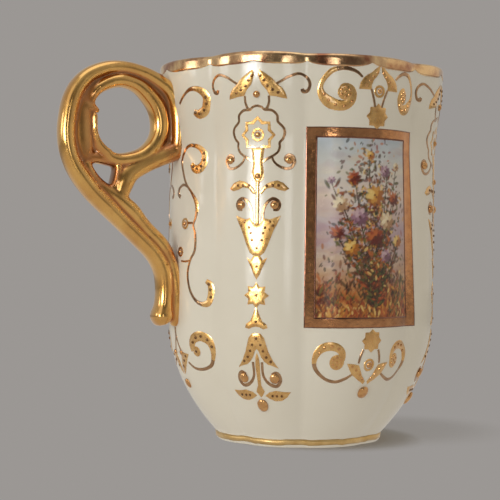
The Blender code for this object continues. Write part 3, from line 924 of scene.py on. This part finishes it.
# %% Raised lines and leaves
THICK = 0.4
LINE_ROUNDNESS = 2
LINE_RISE = 0.09
LINE_SHOULDER = 0.06
LINE_ROOT = 0.02
LEAF_EDGE = 0.05
LEAF_SWELL = 0.1
LEAF_SLOPE = 0.18
LEAF_ROOT = 0.06
LEAF_CELLS = (1.2, 0.7, 0.45)
BEAD_SEAT = 0.1


def split_by_width(route):
    """Runs of a line that are all thin or all thick: thin runs are line gold, thick ones leaf gold."""
    runs = [[route[0]]]
    for last, point in zip(route, route[1:]):
        runs[-1].append(point)
        if (last[2] > THICK) != (point[2] > THICK):
            runs.append([point])
    return [run for run in runs if len(run) > 1]


def raised_lines(routes, closed):
    """Tubes along flat routes, pressed down to a low ribbon with a flat top."""
    shape = bmesh.new()
    flat = [[(x, y, 0, half) for x, y, half in route] for route in routes]
    take_in(shape, tubes(flat, LINE_ROUNDNESS, closed))
    bmesh.ops.remove_doubles(shape, verts=shape.verts, dist=1e-4)
    bmesh.ops.recalc_face_normals(shape, faces=shape.faces)
    for vertex in shape.verts:
        vertex.co.z = LINE_RISE * math.tanh(vertex.co.z / LINE_SHOULDER) - LINE_ROOT
    return shape


def edge_distance(x, y, outline):
    """How far a point of a leaf is from its outline."""
    nearest = math.inf
    for (ax, ay), (bx, by) in zip(outline, outline[1:] + outline[:1]):
        length = (bx - ax) ** 2 + (by - ay) ** 2
        part = min(1.0, max(0.0, ((x - ax) * (bx - ax) + (y - ay) * (by - ay)) / max(length, 1e-9)))
        nearest = min(nearest, math.hypot(x - ax - part * (bx - ax), y - ay - part * (by - ay)))
    return nearest


def raised_leaf(outline):
    """A filled outline that swells from its edge, as paste does, with a flat back."""
    shape = bmesh.new()
    shape.faces.new([shape.verts.new((x, y, 0)) for x, y in outline])
    bmesh.ops.triangulate(shape, faces=shape.faces)
    for limit in LEAF_CELLS:
        for _ in range(2):
            long = [edge for edge in shape.edges if edge.calc_length() > limit]
            if long:
                bmesh.ops.subdivide_edges(shape, edges=long, cuts=1)
                bmesh.ops.triangulate(shape, faces=shape.faces)
        bmesh.ops.beautify_fill(shape, faces=shape.faces, edges=[e for e in shape.edges if not e.is_boundary])
    top = thickened(shape)
    for vertex in shape.verts:
        if vertex in top:
            distance = edge_distance(vertex.co.x, vertex.co.y, outline)
            vertex.co.z = LEAF_EDGE + LEAF_SWELL * (1 - math.exp(-distance / LEAF_SLOPE))
        else:
            vertex.co.z = -LEAF_ROOT
    bmesh.ops.recalc_face_normals(shape, faces=shape.faces)
    return shape


def bead(x, y, radius, rings, height):
    """A small ball on the glaze, with its height given as a share of its width."""
    shape = bmesh.new()
    bmesh.ops.create_uvsphere(shape, u_segments=2 * rings, v_segments=rings, radius=radius)
    bmesh.ops.scale(shape, vec=(1, 1, height), verts=shape.verts)
    bmesh.ops.translate(shape, vec=(x, y, BEAD_SEAT), verts=shape.verts)
    return shape


print("leaf test", len(raised_leaf(star(0, 0, 2.1, 1.45)).faces), "faces")

# %% Drawing of the husk column
HUSK_LINES = [
    [(3.0, 58.7, 0.2), (4.0, 59.3, 0.2), (4.9, 59.9, 0.22), (6.5, 60.5, 0.24), (7.7, 60.0, 0.26),
     (8.2, 59.0, 0.27), (7.9, 58.0, 0.3), (7.2, 57.8, 0.36), (7.0, 58.2, 0.3)],
    [(1.9, 56.9, 0.2), (1.9, 56.0, 0.2), (1.6, 55.1, 0.22), (1.1, 54.8, 0.2)],
    [(0, 55.4, 0.2), (0.7, 55.2, 0.2), (1.2, 54.8, 0.22), (2.3, 54.7, 0.22), (3.1, 54.0, 0.22),
     (3.2, 53.1, 0.22), (3.5, 52.7, 0.22), (4.1, 52.1, 0.22), (4.3, 51.3, 0.24), (4.0, 50.4, 0.22),
     (3.5, 49.8, 0.22), (3.5, 49.1, 0.22), (3.2, 48.3, 0.22), (2.3, 47.6, 0.2)],
    [(2.2, 47.8, 0.2), (2.6, 46.8, 0.2), (3.4, 46.1, 0.22), (4.5, 45.7, 0.25), (5.4, 45.9, 0.28),
     (5.9, 46.8, 0.28), (5.7, 47.6, 0.26), (5.0, 47.9, 0.24), (4.4, 47.5, 0.22), (4.5, 46.8, 0.2)],
    [(2.3, 47.6, 0.22), (1.5, 47.2, 0.25), (0.8, 46.8, 0.25)],
    [(0.8, 36.9, 0.28), (0.9, 38.2, 0.28), (1.1, 39.4, 0.28), (1.7, 40.4, 0.28), (2.5, 40.9, 0.28),
     (3.3, 40.6, 0.28), (3.6, 39.9, 0.28), (3.3, 39.2, 0.26), (2.6, 39.1, 0.2)],
    [(0.8, 14.8, 0.24), (0.8, 12.8, 0.24), (1.3, 11.7, 0.27), (2.2, 11.0, 0.3), (3.2, 10.9, 0.3),
     (3.8, 11.7, 0.3), (3.7, 12.6, 0.28), (3.1, 13.1, 0.25), (2.3, 12.8, 0.2)],
]
HUSK_LEAVES = [
    [(0.5, 60.9), (0.3, 60.0), (0.8, 58.6), (1.6, 57.7), (2.0, 56.9), (3.0, 56.8), (4.0, 56.6),
     (4.7, 56.5), (4.5, 57.3), (4.0, 58.1), (3.2, 58.7), (2.4, 59.6), (1.4, 60.3)],
    [(0.3, 41.8), (0.8, 42.6), (1.4, 43.2), (2.2, 43.6), (3.2, 43.8), (4.2, 43.4), (5.1, 42.5),
     (4.4, 42.1), (3.4, 42.3), (2.5, 42.7), (1.5, 42.5), (0.7, 41.6)],
    [(0.8, 9.2), (1.6, 9.8), (2.9, 10.1), (4.2, 9.9), (5.6, 9.9), (4.9, 9.0), (3.9, 8.4), (2.7, 8.3),
     (1.6, 8.7)],
]
HUSK_MIDDLE = [
    [(1.1, 49.0), (0.9, 47.6), (0.8, 46.4), (1.0, 45.2), (0.9, 44.3), (0.3, 43.4), (0.3, 41.0),
     (0.3, 38.5), (0.3, 36.6)],
    [(0, 36.6), (0.5, 36.9), (1.1, 37.8), (2.0, 37.6), (2.9, 37.9), (3.8, 38.2), (3.3, 37.0),
     (2.7, 35.9), (2.2, 34.6), (1.7, 33.3), (1.2, 32.3), (0.6, 31.8)],
    [(0.5, 31.9), (1.0, 31.1), (1.7, 31.5), (1.3, 30.6), (0.9, 29.8), (0.5, 28.8), (0, 28.0)],
    [(0, 24.1), (0.2, 23.3), (0.5, 22.5), (1.0, 21.4), (1.7, 20.9), (1.9, 20.3), (1.2, 20.1),
     (0.6, 20.4), (0, 20.5)],
    [(0, 19.5), (0.7, 19.4), (1.3, 18.7), (1.6, 17.7), (2.0, 16.4), (2.7, 15.0), (3.6, 13.8),
     (2.6, 14.2), (1.8, 14.4), (1.2, 14.9), (0.7, 15.6), (0.3, 16.6), (0, 16.9)],
    [(0, 16.3), (0.3, 15.5), (0.4, 14.1), (0.3, 12.2), (0.3, 10.9), (0.8, 9.9), (0.4, 9.3), (0, 8.9)],
]
HUSK_BEADS = [(0, 57.1, 0.55), (0, 51.0, 0.45), (5.1, 47.1, 0.7), (0, 44.5, 0.5), (2.8, 39.9, 0.7),
              (2.8, 12.1, 0.85), (0, 7.5, 1.1)]
HUSK_RINGS = [(0, 51.0, 0.85), (0, 44.5, 0.85)]
HUSK_DOTS = [
    (0.7, 59.9), (1.2, 59.2), (1.7, 58.4), (2.5, 57.8), (3.3, 57.4), (2.5, 43.0), (3.4, 43.0),
    (1.5, 42.9), (2.1, 37.2), (1.3, 36.3), (1.0, 35.4), (0.8, 34.3), (0, 33.0), (2.6, 36.6),
    (0, 30.1), (0, 25.5), (0, 21.3), (0, 18.6), (0.7, 17.6), (1.1, 16.6), (1.6, 15.6), (2.3, 14.9),
    (3.0, 9.2), (2.2, 9.2), (3.9, 9.2),
]
husk = {
    "lines": HUSK_LINES, "leaves": HUSK_LEAVES, "beads": HUSK_BEADS, "rings": HUSK_RINGS, "dots": HUSK_DOTS,
    "middle": [whole(half) for half in HUSK_MIDDLE] + [star(0, 25.47, 2.1, 1.45)],
    "outlines": [[(x, y, 0.3) for x, y in star(0, 50.96, 2.6, 2.0)]],
    "shift": 0.45, "bright_dots": False,
}
print("husk column has", len(HUSK_DOTS), "dots to a half")

# %% Drawing above and below a panel
PANEL_LINES = [
    [(3.1, 60.3, 0.2), (4.1, 61.1, 0.28), (5.4, 61.5, 0.33), (6.6, 61.5, 0.36), (7.9, 61.1, 0.45),
     (9.1, 59.8, 0.42), (9.6, 58.5, 0.45), (9.3, 57.3, 0.7), (8.3, 56.3, 0.95), (7.1, 55.8, 0.92),
     (5.7, 55.8, 0.85), (4.8, 56.6, 0.8), (4.6, 57.7, 0.72), (5.1, 58.5, 0.62), (6.0, 58.6, 0.6),
     (6.4, 58.0, 0.4)],
    [(1.5, 58.5, 0.2), (0.9, 56.8, 0.2), (0.6, 55.6, 0.22)],
    [(1.5, 16.9, 0.24), (1.9, 15.8, 0.22), (2.1, 14.7, 0.2)],
    [(3.0, 12.9, 0.2), (4.2, 12.2, 0.27), (5.9, 11.7, 0.28), (7.8, 12.2, 0.28), (9.4, 13.6, 0.34),
     (9.8, 15.1, 0.45), (9.2, 16.6, 0.65), (8.0, 17.4, 0.75), (6.4, 17.4, 0.72), (5.3, 16.6, 0.65),
     (5.2, 15.4, 0.6), (6.0, 14.8, 0.66), (6.5, 15.2, 0.4)],
]
PANEL_LEAVES = [
    [(0.1, 62.3), (0.8, 61.8), (1.6, 61.1), (2.3, 60.7), (2.9, 60.2), (3.4, 59.4), (3.6, 58.4),
     (2.4, 58.4), (1.5, 58.4), (1.5, 59.1), (1.2, 59.9), (0.7, 60.5), (0.3, 61.1)],
    [(4.2, 14.7), (3.0, 14.6), (2.0, 14.4), (1.6, 13.7), (1.1, 12.7), (0.6, 12.1), (0.2, 11.7),
     (0.5, 11.2), (1.1, 11.6), (1.7, 11.9), (2.4, 12.4), (3.1, 12.9), (3.7, 13.8)],
]
PANEL_EYES = [(5.7, 57.8), (6.0, 14.9)]
PANEL_DOTS = [
    (0.6, 61.1), (1.2, 60.5), (1.8, 59.8), (2.4, 59.0), (4.6, 56.4), (5.8, 55.6), (7.2, 55.8), (8.3, 56.5),
    (9.0, 57.4), (3.2, 14.2), (2.4, 13.6), (1.6, 12.8), (0.9, 12.1), (8.2, 17.3), (7.0, 17.5), (9.0, 16.4),
    (5.8, 17.1),
]
for x, y in PANEL_EYES:
    PANEL_LEAVES.append(star(x, y, 1.25, 1.25, 7))
    PANEL_DOTS += [(x, y)] + star(x, y, 0.75, 0.75, 3)
over_panel = {
    "lines": PANEL_LINES, "leaves": PANEL_LEAVES, "dots": PANEL_DOTS, "outlines": [],
    "beads": [(0, 58.2, 0.42), (0, 14.4, 0.5), (0.1, 9.8, 1.0)], "rings": [(0, 58.2, 0.8), (0, 14.4, 0.85)],
    "middle": [star(0, 54.25, 2.05, 1.6), star(0, 18.34, 1.9, 1.5)],
    "shift": 1.5, "bright_dots": True,
}
print("panel lobe has", len(PANEL_LINES), "lines to a half")

# %% Drawing beside the handle
SIDE_LINES = [
    [(3.2, 56.6, 0.2), (4.2, 57.6, 0.22), (5.0, 58.2, 0.26), (5.9, 58.7, 0.32), (7.0, 58.8, 0.44),
     (8.2, 58.4, 0.62), (9.1, 57.5, 0.76), (9.1, 56.4, 0.8), (8.6, 55.2, 0.84), (7.4, 54.7, 0.8),
     (6.4, 55.1, 0.5)],
    [(4.9, 46.7, 0.5), (5.7, 45.9, 0.74), (7.0, 46.0, 0.8), (7.8, 47.1, 0.74), (7.8, 48.3, 0.66),
     (7.0, 49.2, 0.52), (5.7, 49.7, 0.38), (4.2, 49.7, 0.28), (3.0, 48.8, 0.28), (2.2, 47.3, 0.28),
     (2.7, 45.2, 0.27), (3.6, 43.4, 0.26), (4.9, 42.1, 0.28), (6.0, 40.6, 0.44), (6.3, 39.3, 0.42),
     (6.0, 37.8, 0.25), (5.5, 36.6, 0.22), (6.0, 35.0, 0.27), (5.9, 32.5, 0.27), (4.8, 30.8, 0.25),
     (4.2, 28.5, 0.25), (4.8, 26.0, 0.27), (6.2, 24.3, 0.3), (7.7, 23.7, 0.42), (9.0, 24.0, 0.66),
     (9.5, 25.4, 0.7), (9.4, 26.8, 0.64), (8.5, 27.5, 0.4)],
    [(4.8, 42.2, 0.2), (3.7, 43.1, 0.24), (2.5, 43.3, 0.26), (1.4, 42.7, 0.28), (1.1, 41.8, 0.34),
     (1.8, 41.3, 0.4)],
    [(5.3, 37.0, 0.2), (4.0, 37.0, 0.2)],
    [(4.8, 30.8, 0.2), (3.4, 30.6, 0.18), (2.3, 30.7, 0.15)],
    [(0.1, 19.6, 0.2), (0.1, 18.0, 0.2), (0.6, 16.7, 0.2), (1.2, 15.6, 0.22)],
    [(3.0, 13.8, 0.2), (4.6, 12.9, 0.25), (6.7, 12.9, 0.28), (8.6, 13.6, 0.34), (9.4, 15.0, 0.46),
     (9.5, 16.5, 0.66), (8.8, 17.8, 0.84), (7.1, 18.4, 0.88), (5.5, 17.9, 0.84), (4.9, 16.8, 0.76),
     (5.2, 15.9, 0.7)],
]
SIDE_LEAVES = [
    [(3.5, 15.2), (2.4, 15.3), (1.2, 15.5), (0.9, 14.5), (0.4, 13.4), (0.2, 12.4), (0.2, 11.6),
     (0.8, 12.0), (1.5, 12.7), (2.2, 13.5), (2.9, 14.4)],
    star(5.9, 15.8, 0.85, 0.85, 7),
]
SIDE_DOTS = [
    (9.0, 57.3), (9.1, 56.3), (8.5, 55.3), (7.5, 54.8), (6.7, 55.0), (7.8, 48.4), (7.8, 47.3),
    (7.2, 46.3), (6.2, 45.9), (5.4, 46.3), (9.5, 24.9), (9.4, 26.1), (9.1, 27.0), (9.4, 16.8),
    (8.6, 17.9), (7.3, 18.4), (6.1, 18.1), (5.3, 17.3), (5.9, 15.8), (2.6, 14.8), (1.8, 14.0), (1.0, 13.0),
]
by_handle = {
    "lines": SIDE_LINES, "leaves": SIDE_LEAVES, "dots": SIDE_DOTS, "outlines": [], "middle": [],
    "beads": [(3.3, 36.9, 0.4), (2.0, 32.2, 0.36), (1.3, 15.3, 0.4), (0, 10.0, 0.8)],
    "rings": [(3.3, 36.9, 0.75), (2.0, 32.2, 0.65)],
    "shift": 0.0, "bright_dots": False,
}
print("handle lobe has", len(SIDE_LINES), "lines to a half")

# %% Flat ornament
LINE, LEAF, BEAD, DOT = range(4)
RING_STEPS = 18
RING_WIDTH = 0.22
DOT_RADIUS = 0.27
DOT_HEIGHT = 0.6
LARGE_BEAD = 0.8
BEAD_HEIGHT = 0.65
LARGE_BEAD_HEIGHT = 0.5
SQUEEZED_FROM = 4.2
SQUEEZED_ABOVE = 0.68
SQUEEZED_BELOW = 0.9
MIDDLE = 36
LEAN_FROM = 30
LEAN_TO = 60
COLUMNS = [("front_left", 225, 0), ("front_right", 315, 2.0), ("back_right", 45, 0), ("back_left", 135, 0)]


def put_in(target, shape, finish):
    """Add a small shape to the flat drawing and give it its finish."""
    first = len(target.faces)
    take_in(target, mesh_of(shape, "bit"))
    target.faces.ensure_lookup_table()
    for face in target.faces[first:]:
        face.material_index = finish


def both(items):
    """Drawn items with their mirror images, leaving out the image of what lies on the middle line."""
    return items + mirrored([item for item in items if item[0] > 0.05])


def flat_ornament(drawing):
    """Everything in a drawing and its mirror image, raised from a flat sheet."""
    flat = bmesh.new()
    lines = drawing["lines"] + [mirrored(line) for line in drawing["lines"]]
    runs = [run for line in lines for run in split_by_width(smooth_line(line))]
    thin = [run for run in runs if run[len(run) // 2][2] <= THICK]
    thick = [run for run in runs if run[len(run) // 2][2] > THICK]
    put_in(flat, raised_lines(thin, False), LINE)
    if thick:
        put_in(flat, raised_lines(thick, False), LEAF)
    turns = heights(0, math.tau, RING_STEPS)[:-1]
    rings = [[(x + reach * math.sin(turn), y + reach * math.cos(turn), RING_WIDTH) for turn in turns]
             for x, y, reach in both(drawing["rings"])]
    put_in(flat, raised_lines(rings + drawing["outlines"], True), LEAF)
    leaves = drawing["leaves"] + [mirrored(leaf)[::-1] for leaf in drawing["leaves"]]
    for outline in leaves + drawing["middle"]:
        put_in(flat, raised_leaf(outline), LEAF)
    for x, y, radius in both(drawing["beads"]):
        height = BEAD_HEIGHT if radius < LARGE_BEAD else LARGE_BEAD_HEIGHT
        put_in(flat, bead(x, y, radius, 7, height), BEAD)
    for x, y in both(drawing["dots"]):
        put_in(flat, bead(x, y, DOT_RADIUS, 4, DOT_HEIGHT), BEAD if drawing["bright_dots"] else DOT)
    return flat


def squeezed(x, y, drawing):
    """The painter ran out of room at the right of each panel and drew the scrolls there narrower."""
    if drawing is not over_panel or x < SQUEEZED_FROM:
        return x
    return SQUEEZED_FROM + (x - SQUEEZED_FROM) * (SQUEEZED_ABOVE if y > MIDDLE else SQUEEZED_BELOW)


def lay_on_lobe(name, drawing, flat, facing, lean=0.0):
    """Wrap a flat drawing on to a lobe. One was drawn leaning, its lower part further to the right."""
    shape = flat.copy()
    for vertex in shape.verts:
        x, y, z = vertex.co
        along = drawing["shift"] + squeezed(x, y, drawing) + lean * (1 - share(y, LEAN_FROM, LEAN_TO))
        vertex.co = on_lobe(facing, along, y, z)
    piece = add_piece(name, shape, line_gold, "rim_gilding")
    piece.data.set_sharp_from_angle(angle=math.radians(40))
    for material in (leaf_gold, bead_gold, dot_bronze):
        piece.data.materials.append(material)


flat = flat_ornament(husk)
for side, degrees, lean in COLUMNS:
    lay_on_lobe(f"husk_column_{side}", husk, flat, math.radians(degrees), lean)
flat.free()

# %% Wrap the panel and handle drawings
flat = flat_ornament(over_panel)
for side, facing in FACINGS.items():
    lay_on_lobe(f"panel_scrolls_{side}", over_panel, flat, facing)
flat.free()
flat = flat_ornament(by_handle)
lay_on_lobe("handle_scrolls", by_handle, flat, math.pi)
flat.free()

# %% [markdown]
# ## Studio
# The photograph has a plain grey ground and soft light from the left. Only the camera sees that grey. The
# world is an even level, darker on the side behind the camera and darker still in reflections. A window at
# the left has a bright core, and a glint that only reflections see. A strip by the camera, two more windows
# at the left, a warm wall at the right and a lamp overhead do the rest. The floor shows its shadows close
# to the foot and to the right of it, and is plain ground elsewhere. To reflections it is a soft glow.

# %% World
GROUND = (0.328, 0.310, 0.296)
EVEN_LEVEL = 0.445
DARK_LEVEL = 0.31
DARK_REFLECTED = 0.12
DARK_SIDE = math.radians(254)
DARK_EDGE = (0.67, 0.93)
world = bpy.data.worlds.new("studio")
scene.world = world
world.use_nodes = True


def between(material, value, low, high, low_level, high_level):
    """A node whose level goes smoothly from one to another while a value goes from low to high."""
    node = add_node(material, "ShaderNodeMapRange", interpolation_type="SMOOTHSTEP")
    for socket, number in zip(node.inputs[1:5], (low, high, low_level, high_level)):
        socket.default_value = number
    join(material, value, node.inputs["Value"])
    return node


even = world.node_tree.nodes["Background"]
even.inputs["Color"].default_value = (1.0, 0.975, 0.93, 1)
seen = add_node(world, "ShaderNodeBackground", Color=(*GROUND, 1))
way = add_node(world, "ShaderNodeTexCoord")
path = add_node(world, "ShaderNodeLightPath")
towards = add_node(world, "ShaderNodeVectorMath", operation="DOT_PRODUCT")
towards.inputs[1].default_value = (math.cos(DARK_SIDE), math.sin(DARK_SIDE), 0)
join(world, way.outputs["Generated"], towards.inputs[0])
deeper = between(world, path.outputs["Is Glossy Ray"], 0, 1, DARK_LEVEL, DARK_REFLECTED)
dim = between(world, towards.outputs["Value"], *DARK_EDGE, EVEN_LEVEL, DARK_LEVEL)
join(world, deeper.outputs["Result"], dim.inputs["To Max"])
join(world, dim.outputs["Result"], even.inputs["Strength"])
mix = add_node(world, "ShaderNodeMixShader")
join(world, path.outputs["Is Camera Ray"], mix.inputs["Fac"])
join(world, even.outputs[0], mix.inputs[1])
join(world, seen.outputs[0], mix.inputs[2])
join(world, mix.outputs[0], world.node_tree.nodes["World Output"].inputs["Surface"])
print("world ready")

# %% Lamps
WARM = (1.0, 0.76, 0.45)
OVERHEAD_SIZE = 0.5
OVERHEAD_LEVEL = 0.8
OVERHEAD_PLACE = Vector((-0.1, -0.1, 0.6))


def softbox(name, degrees, distance, bottom, top, width, level, colour=(1, 1, 1)):
    """An upright soft lamp round the cup, with its brightness given as a level like the world's."""
    lamp = bpy.data.lights.new(name, "AREA")
    lamp.shape = "RECTANGLE"
    lamp.color = colour
    lamp.size = width
    lamp.size_y = top - bottom
    lamp.energy = level * math.pi * width * (top - bottom)
    angle = math.radians(degrees)
    place = AXIS + Vector((math.cos(angle) * distance, math.sin(angle) * distance, (bottom + top) / 2))
    inward = Vector((AXIS.x, AXIS.y, place.z)) - place
    box = bpy.data.objects.new(name, lamp)
    box.matrix_world = Matrix.Translation(place) @ inward.to_track_quat("-Z", "Y").to_matrix().to_4x4()
    scene.collection.objects.link(box)
    return box


softbox("left_window", 207, 0.5, 0.02, 0.16, 0.23, 4.5)
softbox("window_core", 207, 0.49, 0.032, 0.092, 0.19, 4.4)
glint = softbox("window_glint", 207, 0.485, 0.036, 0.092, 0.12, 9.0)
glint.visible_diffuse = False
softbox("strip_by_camera", 254, 0.55, -0.004, 0.16, 0.1, 2.6)
softbox("far_left_window", 165, 0.5, 0.06, 0.18, 0.12, 3.0)
softbox("high_left_window", 200, 0.7, 0.25, 0.8, 0.6, 0.4)
softbox("right_wall", 348, 0.6, 0.0, 0.5, 0.7, 0.19, WARM)
overhead = bpy.data.lights.new("overhead", "AREA")
overhead.size = OVERHEAD_SIZE
overhead.energy = OVERHEAD_LEVEL * math.pi * OVERHEAD_SIZE * OVERHEAD_SIZE
above = bpy.data.objects.new("overhead", overhead)
above.location = AXIS + OVERHEAD_PLACE
scene.collection.objects.link(above)

# %% Shades of the floor
ground, shader = new_finish("ground", 0.9, 0)
shader.inputs["Base Color"].default_value = (0.43, 0.418, 0.41, 1)
shader.inputs["Specular IOR Level"].default_value = 0.1
glow = add_node(ground, "ShaderNodeEmission", Color=(*GROUND, 1))
bounce = add_node(ground, "ShaderNodeEmission", Color=(0.54, 0.51, 0.47, 1))
place = add_node(ground, "ShaderNodeTexCoord")


def by_distance(centre, near, far, near_level, far_level):
    """A level on the floor that changes smoothly with the distance from a centre."""
    away = add_node(ground, "ShaderNodeVectorMath", operation="DISTANCE")
    away.inputs[1].default_value = centre
    join(ground, place.outputs["Object"], away.inputs[0])
    return between(ground, away.outputs["Value"], near, far, near_level, far_level).outputs["Result"]


beside = AXIS + 0.018 * rightward - 0.012 * outward
below = AXIS + 0.005 * rightward - 0.001 * outward
long_shadow = by_distance(beside, 0.01, 0.024, 0.5, 1)
contact_shadow = by_distance(below, 0.013, 0.02, 0, 1)
far_dimming = by_distance(AXIS, 0.12, 0.3, 1, 0.5)
plain = add_node(ground, "ShaderNodeMath", operation="MINIMUM")
shaded = add_node(ground, "ShaderNodeMixShader")
light_path = add_node(ground, "ShaderNodeLightPath")
lit = add_node(ground, "ShaderNodeMixShader")
join(ground, far_dimming, bounce.inputs["Strength"])
join(ground, long_shadow, plain.inputs[0])
join(ground, contact_shadow, plain.inputs[1])
join(ground, plain.outputs[0], shaded.inputs["Fac"])
join(ground, shader.outputs[0], shaded.inputs[1])
join(ground, glow.outputs[0], shaded.inputs[2])
join(ground, light_path.outputs["Is Camera Ray"], lit.inputs["Fac"])
join(ground, bounce.outputs[0], lit.inputs[1])
join(ground, shaded.outputs[0], lit.inputs[2])
join(ground, lit.outputs[0], ground.node_tree.nodes["Material Output"].inputs["Surface"])
print("floor shades ready")

# %% Floor
FLOOR_REACH = 0.8
floor_shape = bmesh.new()
bmesh.ops.create_grid(floor_shape, x_segments=1, y_segments=1, size=FLOOR_REACH)
floor_mesh = mesh_of(floor_shape, "floor")
floor_mesh.materials.append(ground)
floor = bpy.data.objects.new("floor", floor_mesh)
scene.collection.objects.link(floor)
print("floor ready")
